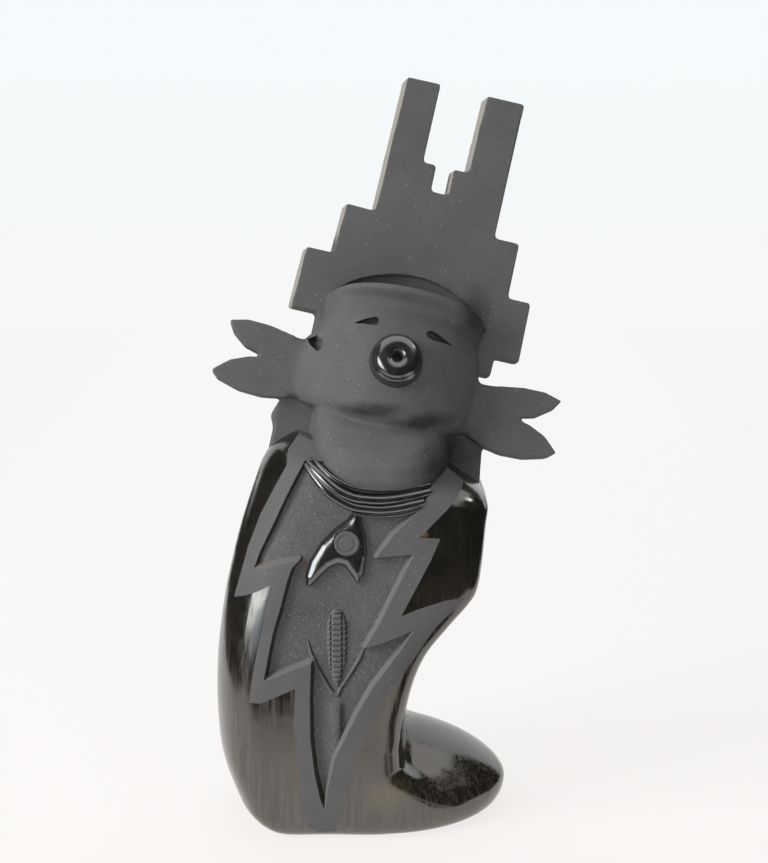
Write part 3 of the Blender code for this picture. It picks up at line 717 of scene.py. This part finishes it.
def eye_slit(inner, outer):
    """A slit, blunt towards the nose, that runs out to a point."""
    along = Vector((outer[0] - inner[0], outer[1] - inner[1]))
    side = Vector((-along.y, along.x)).normalized() * EYE_HALF * math.copysign(1, along.x)
    slit = [Vector(inner) + along * far + side * wide for far, wide in EYE_SHAPE]
    return tuple(tuple(p) for p in smooth_run(slit, EYE_STEPS, closed=True))


carve(head, CRESCENT, CRESCENT_DEEP, CRESCENT_WALL, 3, CRESCENT_BEHIND, CRESCENT_SLOPE)
carve(head, EAR_PIT, EAR_PIT_DEEP, EAR_PIT_WALL, 2)
for inner, outer in EYES:
    carve(head, eye_slit(inner, outer), EYE_DEEP, EYE_WALL, 2)
head = finished(keep_mesh("head", head), ("DECIMATE", {"ratio": HEAD_SHARE}))
bmesh.ops.transform(head, matrix=HEAD, verts=head.verts)
applied.append(keep_mesh("head", head, BISQUE))

# ==== Snout ================================================================================
# A turned plug of clay with a rounded, polished lip round a pierced hole, pressed on the mask.
SNOUT_PLACE = (-1.5, -17.0, -8.1)
SNOUT_UP, SNOUT_TURN = 6.5, 4.0
# radius and height, from the floor of the hole up its wall, over the lip and down the outside
SNOUT_PROFILE = (
    (0.0, 4.6), (1.1, 4.6), (1.6, 5.0), (1.75, 8.0), (1.85, 12.0), (2.05, 12.4), (2.4, 12.7),
    (2.9, 12.9), (3.6, 13.05), (4.4, 13.1), (5.2, 13.05), (5.9, 12.85), (6.5, 12.5), (7.0, 12.0),
    (7.35, 11.4), (7.5, 10.8), (7.45, 10.3), (7.6, 9.9), (8.0, 9.5), (8.35, 8.6), (8.6, 7.0),
    (9.0, 4.0), (9.6, 0.0),
)
SNOUT_SIDES = 72
HOLE_R = 2.0


def turned(profile, sides):
    """A shell turned on the wheel from a profile of radii and heights."""
    shell = bmesh.new()
    run = [shell.verts.new((r, 0, h)) for r, h in profile]
    line = [shell.edges.new(pair) for pair in zip(run, run[1:])]
    bmesh.ops.spin(
        shell, geom=run + line, cent=(0, 0, 0), axis=(0, 0, 1), angle=2 * math.pi, steps=sides,
        use_merge=True,
    )
    return shell


snout = turned([(r * MM, h * MM) for r, h in SNOUT_PROFILE], SNOUT_SIDES)
bmesh.ops.remove_doubles(snout, verts=snout.verts, dist=0.00001)
bmesh.ops.contextual_create(snout, geom=[e for e in snout.edges if e.is_boundary])
for face in snout.faces:
    in_hole = face.calc_center_median().xy.length < HOLE_R * MM
    face.material_index = BISQUE if in_hole else POLISHED
place = HEAD @ Matrix.Translation(Vector(SNOUT_PLACE) * MM)
aim = tilt("Z", -SNOUT_TURN) @ tilt("X", 90 - SNOUT_UP)
bmesh.ops.transform(snout, matrix=place @ aim, verts=snout.verts)
bmesh.ops.recalc_face_normals(snout, faces=snout.faces)
applied.append(keep_mesh("snout", snout))

# ==== The figure ===========================================================================
# All of the parts are one piece of clay once they are luted and fired, so they are joined here
# into one skin.  It has five finishes: burnished slip, dull slip, stippled ground, bare clay and
# the brighter polish of the necklace, the pendant and the snout.
SHARP_FROM = 38
figure = keep_mesh("pottery_kachina_figure", body)
bpy.context.scene.collection.objects.link(figure)
for part in applied:
    bpy.context.scene.collection.objects.link(part)
    step = figure.modifiers.new(part.name, "BOOLEAN")
    step.operation = "UNION"
    step.solver = "MANIFOLD"
    step.object = part
graph = bpy.context.evaluated_depsgraph_get()
joined = bpy.data.meshes.new_from_object(figure.evaluated_get(graph))
figure.modifiers.clear()
figure.data = joined
for part in applied:
    bpy.data.objects.remove(part)
joined.shade_smooth()
joined.set_sharp_from_angle(angle=math.radians(SHARP_FROM))
finishes_at = {}
for polygon in joined.polygons:
    for key in polygon.edge_keys:
        finishes_at.setdefault(key, set()).add(polygon.material_index)
for edge in joined.edges:
    if finishes_at[edge.key] == {BAND, GROUND}:
        edge.use_edge_sharp = True
even = figure.modifiers.new("even_shading", "WEIGHTED_NORMAL")
even.keep_sharp = True

# ---- finishes -----------------------------------------------------------------------------


def spread(tree, value, low, high, to_low=0.0, to_high=1.0):
    """A value stretched from one range to another, held at its ends."""
    node = tree.nodes.new("ShaderNodeMapRange")
    for socket, number in zip(node.inputs[1:5], (low, high, to_low, to_high)):
        socket.default_value = number
    tree.links.new(value, node.inputs["Value"])
    return node.outputs["Result"]


def tint(tree, factor, dark, light):
    """A colour between two by a factor; each is a colour or a socket."""
    node = tree.nodes.new("ShaderNodeMix")
    node.data_type = "RGBA"
    tree.links.new(factor, node.inputs["Factor"])
    for socket, colour in ((node.inputs[6], dark), (node.inputs[7], light)):
        if isinstance(colour, tuple):
            socket.default_value = (*colour, 1)
        else:
            tree.links.new(colour, socket)
    return node.outputs[2]


def reckon(tree, kind, first, second):
    """Two values added, multiplied and so on; each is a number or a socket."""
    node = tree.nodes.new("ShaderNodeMath")
    node.operation = kind
    for socket, value in zip(node.inputs, (first, second)):
        if isinstance(value, (int, float)):
            socket.default_value = value
        else:
            tree.links.new(value, socket)
    return node.outputs[0]


def group(name, takes, gives):
    """A shader node group with its named inputs and outputs, ready to be filled."""
    made = bpy.data.node_groups.new(name, "ShaderNodeTree")
    for label, kind, value in takes:
        made.interface.new_socket(label, in_out="INPUT", socket_type=kind).default_value = value
    for label, kind in gives:
        made.interface.new_socket(label, in_out="OUTPUT", socket_type=kind)
    return made, made.nodes.new("NodeGroupInput").outputs, made.nodes.new("NodeGroupOutput").inputs


def placed(tree, made, **values):
    """The group as a node of a material, with its own values."""
    node = tree.nodes.new("ShaderNodeGroup")
    node.node_tree = made
    for label, value in values.items():
        if isinstance(value, bpy.types.NodeSocket):
            tree.links.new(value, node.inputs[label])
        else:
            node.inputs[label].default_value = value
    return node.outputs


def axes(tree, kind, output):
    """The X, Y and Z of a vector that a new node of some kind puts out."""
    node = tree.nodes.new("ShaderNodeSeparateXYZ")
    tree.links.new(tree.nodes.new(kind).outputs[output], node.inputs["Vector"])
    return node.outputs


# grain: noise over the clay at a number of grains a metre, pulled long or short along an axis
grain, takes, gives = group(
    "clay_grain",
    (("Grains", "NodeSocketFloat", 1500.0), ("Detail", "NodeSocketFloat", 3.0),
     ("Pull", "NodeSocketVector", (1.0, 1.0, 1.0))),
    (("Value", "NodeSocketFloat"),),
)
place = grain.nodes.new("ShaderNodeTexCoord").outputs["Object"]
pull = grain.nodes.new("ShaderNodeMapping")
grain.links.new(place, pull.inputs["Vector"])
grain.links.new(takes["Pull"], pull.inputs["Scale"])
noise = grain.nodes.new("ShaderNodeTexNoise")
noise.inputs["Roughness"].default_value = 0.62
grain.links.new(pull.outputs["Vector"], noise.inputs["Vector"])
grain.links.new(takes["Grains"], noise.inputs["Scale"])
grain.links.new(takes["Detail"], noise.inputs["Detail"])
grain.links.new(noise.outputs["Fac"], gives["Value"])

# flecks: mica that the potter's clay is full of, tiny bright points far apart
flecks, takes, gives = group(
    "mica_flecks", (("Share", "NodeSocketFloat", 0.02),), (("Mask", "NodeSocketFloat"),)
)
place = flecks.nodes.new("ShaderNodeTexCoord").outputs["Object"]
cells = flecks.nodes.new("ShaderNodeTexVoronoi")
cells.inputs["Scale"].default_value = 2400
flecks.links.new(place, cells.inputs["Vector"])
chosen = flecks.nodes.new("ShaderNodeSeparateColor")
flecks.links.new(cells.outputs["Color"], chosen.inputs["Color"])
lucky = reckon(flecks, "LESS_THAN", chosen.outputs[0], takes["Share"])
core = spread(flecks, cells.outputs["Distance"], 0.3, 0.5, 1.0, 0.0)
flecks.links.new(reckon(flecks, "MULTIPLY", lucky, core), gives["Mask"])

# patina: brown earth left on the rough undersides, which fingers never reach
patina, takes, gives = group(
    "brown_patina",
    (("Colour", "NodeSocketColor", (0.1, 0.1, 0.1, 1)),),
    (("Colour", "NodeSocketColor"),),
)
facing = axes(patina, "ShaderNodeNewGeometry", "Normal")
under = spread(patina, facing["Z"], -0.55, -0.85)
blotch = placed(patina, grain, Grains=220.0)["Value"]
worn = reckon(patina, "MULTIPLY", under, spread(patina, blotch, 0.42, 0.56))
patina.links.new(tint(patina, worn, takes["Colour"], (0.075, 0.055, 0.042)), gives["Colour"])

# edge highlight: a painted highlight on the headboard's left-facing edges, the side that the key
# lamp lights
edge_highlight, takes, gives = group("painted_edge_highlight", (), (("Mask", "NodeSocketFloat"),))
facing = axes(edge_highlight, "ShaderNodeNewGeometry", "Normal")
where = axes(edge_highlight, "ShaderNodeTexCoord", "Object")
leftward = spread(edge_highlight, facing["X"], -0.35, -0.7)
over_mask = spread(edge_highlight, where["Z"], 0.198, 0.202)
beside_mask = reckon(
    edge_highlight, "MULTIPLY",
    spread(edge_highlight, where["X"], -0.0185, -0.0205), spread(edge_highlight, where["Z"], 0.172, 0.176),
)
on_board = reckon(edge_highlight, "MAXIMUM", over_mask, beside_mask)
edge_highlight.links.new(reckon(edge_highlight, "MULTIPLY", leftward, on_board), gives["Mask"])

# wall shading: painted shade on the panel's walls that face right, away from the key lamp, and a
# painted highlight on the walls that face left or up, towards it
wall_shading, takes, gives = group(
    "painted_wall_shade", (), (("Mask", "NodeSocketFloat"), ("Highlight", "NodeSocketFloat"))
)
facing = axes(wall_shading, "ShaderNodeNewGeometry", "Normal")
wall_shading.links.new(spread(wall_shading, facing["X"], 0.25, 0.5), gives["Mask"])
leftward = spread(wall_shading, facing["X"], -0.35, -0.65)
upward = spread(wall_shading, facing["Z"], 0.35, 0.65)
wall_shading.links.new(reckon(wall_shading, "MAXIMUM", leftward, upward), gives["Highlight"])


def clay(name, ior, roughness):
    """A finish of the clay: the material, its nodes and its shader."""
    made = bpy.data.materials.new(name)
    made.use_nodes = True
    skin = made.node_tree.nodes["Principled BSDF"]
    skin.inputs["IOR"].default_value = ior
    skin.inputs["Roughness"].default_value = roughness
    return made, made.node_tree, skin


def raise_skin(tree, skin, height, distance, before=None):
    """Relief in the skin, so many millimetres high, over the relief before it."""
    bump = tree.nodes.new("ShaderNodeBump")
    bump.inputs["Distance"].default_value = distance * MM
    bump.inputs["Strength"].default_value = 1.0
    tree.links.new(height, bump.inputs["Height"])
    if before is not None:
        tree.links.new(before, bump.inputs["Normal"])
    tree.links.new(bump.outputs["Normal"], skin.inputs["Normal"])
    return bump.outputs["Normal"]


# fire cloud and painted shade: a patch of another shade, ragged at its rim; it gives the burnished
# slip the patches that the fire left, and the bare clay its painted shadows
cloud_and_shade_patch, takes, gives = group(
    "fire_cloud_and_painted_shade",
    (("Centre", "NodeSocketVector", (0.0, 0.0, 0.0)),
     ("Stretch", "NodeSocketVector", (100.0, 20.0, 100.0)),
     ("Ragged", "NodeSocketFloat", 700.0)),
    (("Mask", "NodeSocketFloat"),),
)
place = cloud_and_shade_patch.nodes.new("ShaderNodeTexCoord").outputs["Object"]
steps = []
for kind in ("SUBTRACT", "MULTIPLY", "LENGTH"):
    node = cloud_and_shade_patch.nodes.new("ShaderNodeVectorMath")
    node.operation = kind
    steps.append(node)
cloud_and_shade_patch.links.new(place, steps[0].inputs[0])
cloud_and_shade_patch.links.new(takes["Centre"], steps[0].inputs[1])
cloud_and_shade_patch.links.new(steps[0].outputs["Vector"], steps[1].inputs[0])
cloud_and_shade_patch.links.new(takes["Stretch"], steps[1].inputs[1])
cloud_and_shade_patch.links.new(steps[1].outputs["Vector"], steps[2].inputs[0])
near = spread(cloud_and_shade_patch, steps[2].outputs["Value"], 0.0, 1.0, 1.0, 0.0)
rag = placed(cloud_and_shade_patch, grain, Grains=takes["Ragged"])["Value"]
edge_on = reckon(cloud_and_shade_patch, "ADD", near, reckon(cloud_and_shade_patch, "MULTIPLY", rag, 1.6))
patch = reckon(cloud_and_shade_patch, "MULTIPLY", edge_on, near)
cloud_and_shade_patch.links.new(spread(cloud_and_shade_patch, patch, 0.45, 1.3), gives["Mask"])

# burnished slip: nearly black and glossy, with the upright streaks that the polishing stone leaves
# and a few patches that the fire left brown; worn thin towards the foot
SOOT_BLACK, SMOKE_BROWN = (0.006, 0.006, 0.005), (0.015, 0.012, 0.009)
WORN_BROWN = (0.040, 0.032, 0.024)
WORN_NONE, WORN_FULL = 0.075, 0.045
# each: centre in metres, patches a metre along each axis, raggedness, colour
FIRE_PATCHES = (
    ((0.006, -0.034, 0.0160), (58, 20, 80), 900.0, (0.050, 0.042, 0.022)),
    ((0.0150, -0.03, 0.0275), (380, 30, 170), 1200.0, (0.11, 0.035, 0.025)),
    ((0.0184, -0.03, 0.1079), (400, 30, 300), 900.0, (0.09, 0.055, 0.022)),
)
burnished, tree, skin = clay("burnished_slip", 2.05, 0.12)
skin.inputs["Specular Tint"].default_value = (1.0, 0.96, 0.90, 1)
streaks = placed(tree, grain, Grains=900.0, Detail=2.0, Pull=(1, 1, 0.06))["Value"]
cloud = placed(tree, grain, Grains=90.0)["Value"]
shade = tint(tree, spread(tree, cloud, 0.35, 0.7), SOOT_BLACK, SMOKE_BROWN)
where = axes(tree, "ShaderNodeTexCoord", "Object")
low = spread(tree, where["Z"], WORN_NONE, WORN_FULL)
worn = reckon(tree, "MULTIPLY", spread(tree, streaks, 0.42, 0.7), low)
shade = tint(tree, worn, shade, WORN_BROWN)
for centre, stretch, ragged, colour in FIRE_PATCHES:
    patch = placed(tree, cloud_and_shade_patch, Centre=centre, Stretch=stretch, Ragged=ragged)["Mask"]
    shade = tint(tree, patch, shade, colour)
tree.links.new(shade, skin.inputs["Base Color"])
tree.links.new(spread(tree, streaks, 0.35, 0.7, 0.10, 0.27), skin.inputs["Roughness"])
waves = placed(tree, grain, Grains=90.0, Detail=1.0)["Value"]
first = raise_skin(tree, skin, waves, 0.08)
raise_skin(tree, skin, streaks, 0.003, first)

# dull finishes: the bands' slip, the panel's ground pricked all over with a point, and bare clay.
# Each: name, roughness, dark and light shade, grains a metre, relief in millimetres, mica
DULL = (
    ("dull_slip", 0.72, (0.066, 0.065, 0.066), (0.090, 0.088, 0.089), 2600.0, 0.018, 0.003),
    ("stippled_ground", 0.80, (0.052, 0.050, 0.050), (0.104, 0.101, 0.101), 1900.0, 0.050, 0.011),
    ("bare_clay", 0.78, (0.062, 0.061, 0.061), (0.092, 0.090, 0.090), 2300.0, 0.030, 0.004),
)
# painted shadows: dark patches painted where shade falls, in the hollow by the right shoulder,
# under the chin on both sides, round the snout and at the right end of the visor: centre in metres,
# patches a metre along each axis
PAINTED_SHADOWS = (
    ((0.027, -0.022, 0.130), (45, 12, 45)),
    ((0.001, -0.026, 0.1478), (45, 12, 170)),
    ((0.018, -0.026, 0.1432), (42, 12, 140)),
    ((0.0088, -0.034, 0.1687), (170, 25, 170)),
    ((0.0365, -0.004, 0.1755), (75, 20, 45)),
)
# colours of the painted shadows and of the painted highlight on the headboard's edges
PAINTED_SHADOW_BLACK, EDGE_HIGHLIGHT_GREY = (0.024, 0.023, 0.020), (0.24, 0.225, 0.20)
# colours of the painted shade and the painted highlight on the panel's walls
WALL_SHADE_BLACK, WALL_HIGHLIGHT_GREY = (0.020, 0.019, 0.016), (0.115, 0.112, 0.107)
MICA_WHITE = (0.27, 0.265, 0.26)
made_dull = []
for name, roughness, dark, light, grains, relief_high, share in DULL:
    made, tree, skin = clay(name, 1.45, roughness)
    fine = placed(tree, grain, Grains=grains, Detail=3.0)["Value"]
    broad = placed(tree, grain, Grains=55.0, Detail=2.0)["Value"]
    fine_part = reckon(tree, "MULTIPLY", fine, 0.72)
    broad_part = reckon(tree, "MULTIPLY", broad, 0.28)
    mixed = reckon(tree, "ADD", fine_part, broad_part)
    shade = tint(tree, spread(tree, mixed, 0.38, 0.62), dark, light)
    shade = placed(tree, patina, Colour=shade)["Colour"]
    if name == "bare_clay":
        # a painted highlight on the headboard's left-facing edges
        shade = tint(tree, placed(tree, edge_highlight)["Mask"], shade, EDGE_HIGHLIGHT_GREY)
        # painted shadows under the chin, by the right shoulder, round the snout and by the visor
        for centre, stretch in PAINTED_SHADOWS:
            shadow_patch = placed(tree, cloud_and_shade_patch, Centre=centre, Stretch=stretch, Ragged=130.0)
            shade = tint(tree, shadow_patch["Mask"], shade, PAINTED_SHADOW_BLACK)
    if name == "stippled_ground":
        # painted shade on the walls facing right, painted highlight on the walls facing left or up
        walls = placed(tree, wall_shading)
        shade = tint(tree, walls["Mask"], shade, WALL_SHADE_BLACK)
        shade = tint(tree, walls["Highlight"], shade, WALL_HIGHLIGHT_GREY)
    spots = placed(tree, flecks, Share=share)["Mask"]
    tree.links.new(tint(tree, spots, shade, MICA_WHITE), skin.inputs["Base Color"])
    raise_skin(tree, skin, fine, relief_high)
    made_dull.append(made)
band, ground, bisque = made_dull

# polished slip: the brightest gloss, on the necklace, the pendant and the snout
polished, tree, skin = clay("polished_slip", 2.3, 0.2)
cloud = placed(tree, grain, Grains=260.0)["Value"]
shade = tint(tree, spread(tree, cloud, 0.35, 0.7), (0.008, 0.008, 0.0075), (0.016, 0.014, 0.012))
tree.links.new(shade, skin.inputs["Base Color"])
tree.links.new(spread(tree, cloud, 0.35, 0.7, 0.17, 0.26), skin.inputs["Roughness"])
raise_skin(tree, skin, placed(tree, grain, Grains=240.0, Detail=1.0)["Value"], 0.03)

for index, finish in enumerate((burnished, band, ground, bisque, polished)):
    figure.data.materials[index] = finish
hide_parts("kachina_figure")
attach(figure, "root")

# ==== Camera ===============================================================================
# A long lens a little over half a metre in front, looking down by a small angle.
camera = bpy.data.objects.new("camera", bpy.data.cameras.new("camera"))
camera.location = (0.005, -0.600, 0.2743)
camera.rotation_euler = (math.radians(77), 0, 0)
camera.data.sensor_fit = "VERTICAL"
camera.data.sensor_height = 36
camera.data.lens = 75.09
bpy.context.scene.collection.objects.link(camera)
bpy.context.scene.camera = camera

# ==== Studio ===============================================================================
# A pale seamless bowl of paper round the figure, lit by a large soft lamp on the left, a weaker
# one in front and a wide one overhead.  Cards stand where the polish reflects them: dark ones for
# the room and its floor, a small flag by the head, and bright ones for the ceiling and windows.
STUDIO_R, STUDIO_BEND, STUDIO_HIGH = 2.4, 0.9, 2.6
STUDIO_SIDES, BEND_STEPS = 96, 16
profile = [(0.001, 0.0), (STUDIO_R - STUDIO_BEND, 0.0)]
for a in np.linspace(0, math.pi / 2, BEND_STEPS)[1:]:
    out = STUDIO_R - STUDIO_BEND * (1 - math.sin(a))
    profile.append((out, STUDIO_BEND * (1 - math.cos(a))))
profile.append((STUDIO_R, STUDIO_HIGH))
bowl = turned(profile, STUDIO_SIDES)
bmesh.ops.recalc_face_normals(bowl, faces=bowl.faces)
data = bpy.data.meshes.new("studio_bowl")
bowl.to_mesh(data)
bowl.free()
data.shade_smooth()
bowl = bpy.data.objects.new("studio_bowl", data)
paper = bpy.data.materials.new("pale_paper")
paper.use_nodes = True
coat = paper.node_tree.nodes["Principled BSDF"]
coat.inputs["Roughness"].default_value = 0.9
coat.inputs["Specular IOR Level"].default_value = 0.1
tree = paper.node_tree
where = axes(tree, "ShaderNodeTexCoord", "Object")
climb = reckon(tree, "ADD", where["Z"], reckon(tree, "MULTIPLY", where["Y"], 0.25))
climb = spread(tree, climb, -0.1, 0.9)
shade = tint(tree, climb, (0.10, 0.0975, 0.095), (0.10, 0.1025, 0.105))
glow = tint(tree, climb, (0.905, 0.872, 0.853), (0.915, 0.975, 0.995))
tree.links.new(shade, coat.inputs["Base Color"])
tree.links.new(glow, coat.inputs["Emission Color"])
coat.inputs["Emission Strength"].default_value = 0.90
data.materials.append(paper)
bpy.context.scene.collection.objects.link(bowl)


def card(name, centre, size, facing, colour, strength, absorbs=False):
    """A flat panel that only reflections see, or that also swallows stray light."""
    made = bmesh.new()
    bmesh.ops.create_grid(made, x_segments=1, y_segments=1, size=0.5)
    turn = Vector(facing).to_track_quat("Z", "Y").to_matrix().to_4x4()
    place = Matrix.Translation(centre) @ turn @ Matrix.Diagonal((*size, 1, 1))
    bmesh.ops.transform(made, matrix=place, verts=made.verts)
    mesh = bpy.data.meshes.new(name)
    made.to_mesh(mesh)
    made.free()
    panel = bpy.data.objects.new(name, mesh)
    glow = bpy.data.materials.new(name)
    glow.use_nodes = True
    tree = glow.node_tree
    tree.nodes.clear()
    light = tree.nodes.new("ShaderNodeEmission")
    light.inputs["Color"].default_value = (*colour, 1)
    light.inputs["Strength"].default_value = strength
    end = tree.nodes.new("ShaderNodeOutputMaterial")
    tree.links.new(light.outputs["Emission"], end.inputs["Surface"])
    mesh.materials.append(glow)
    panel.visible_camera = False
    panel.visible_diffuse = absorbs
    panel.visible_shadow = False
    panel.visible_transmission = False
    bpy.context.scene.collection.objects.link(panel)


DARK = (0.012, 0.012, 0.011)
# each dark card: its name, centre, size, the way that it faces, and whether it swallows light
for name, centre, size, facing, absorbs in (
    ("dark_floor", (0, -0.63, 0.002), (2.2, 0.94), (0, 0, 1), False),
    ("dark_floor_left", (-0.66, 0.42, 0.002), (0.88, 1.16), (0, 0, 1), False),
    ("dark_floor_right", (0.66, 0.42, 0.002), (0.88, 1.16), (0, 0, 1), False),
    ("dark_floor_near", (0.075, -0.080, 0.002), (0.04, 0.05), (0, 0, 1), False),
    ("flag", (0.19, 0.0, 0.213), (0.075, 0.05), (-0.66, -0.08, -0.75), False),
    ("dark_room", (0, -1.05, 0.6), (2.2, 1.4), (0, 1, 0), True),
    ("dark_right", (1.05, 0.0, 0.6), (2.2, 1.4), (-1, 0, 0), True),
    ("dark_left", (-1.05, 0.0, 0.6), (2.2, 1.4), (1, 0, 0), True),
):
    card(name, centre, size, facing, DARK, 1.0, absorbs)
# each bright card: its name, centre, size, the way that it faces, colour and strength
for name, centre, size, facing, colour, strength in (
    ("ceiling", (0, -0.1, 1.3), (2.2, 2.0), (0, 0, -1), (0.98, 0.98, 1.0), 1.15),
    ("left_window", (-0.22, -0.266, 0.034), (0.12, 0.045), (0.62, 0.78, 0), (0.70, 0.83, 1.0), 1.5),
    ("left_glow", (-0.58, -0.42, 0.22), (0.5, 0.4), (0.8, 0.55, 0), (0.93, 0.97, 1.0), 6.0),
    ("right_glow", (0.69, 0.056, 0.80), (0.2, 0.16), (-0.66, -0.08, -0.68), (1.0, 0.99, 0.97), 8.0),
):
    card(name, centre, size, facing, colour, strength)


AIM = (0, 0, 0.12)


def lamp(name, place, size, power, colour):
    """A soft square lamp aimed at the figure, which nothing reflects."""
    light = bpy.data.lights.new(name, "AREA")
    light.shape = "SQUARE"
    light.size = size
    light.energy = power
    light.color = colour
    made = bpy.data.objects.new(name, light)
    made.location = place
    made.rotation_euler = (Vector(AIM) - Vector(place)).to_track_quat("-Z", "Y").to_euler()
    made.visible_glossy = False
    bpy.context.scene.collection.objects.link(made)


lamp("key", (-0.95, -0.5, 0.65), 0.55, 17.5, (0.97, 0.98, 1.0))
lamp("fill", (0.12, -0.98, 0.32), 0.7, 4.3, (1.0, 0.98, 0.95))
lamp("top", (0, 0.3, 1.9), 1.6, 18, (1.0, 1.0, 1.0))
world = bpy.data.worlds.new("studio_air")
bpy.context.scene.world = world
world.use_nodes = True
air = world.node_tree.nodes["Background"]
air.inputs["Color"].default_value = (0.95, 0.98, 1.0, 1)
air.inputs["Strength"].default_value = 0.25
bpy.context.scene.view_settings.view_transform = "Standard"
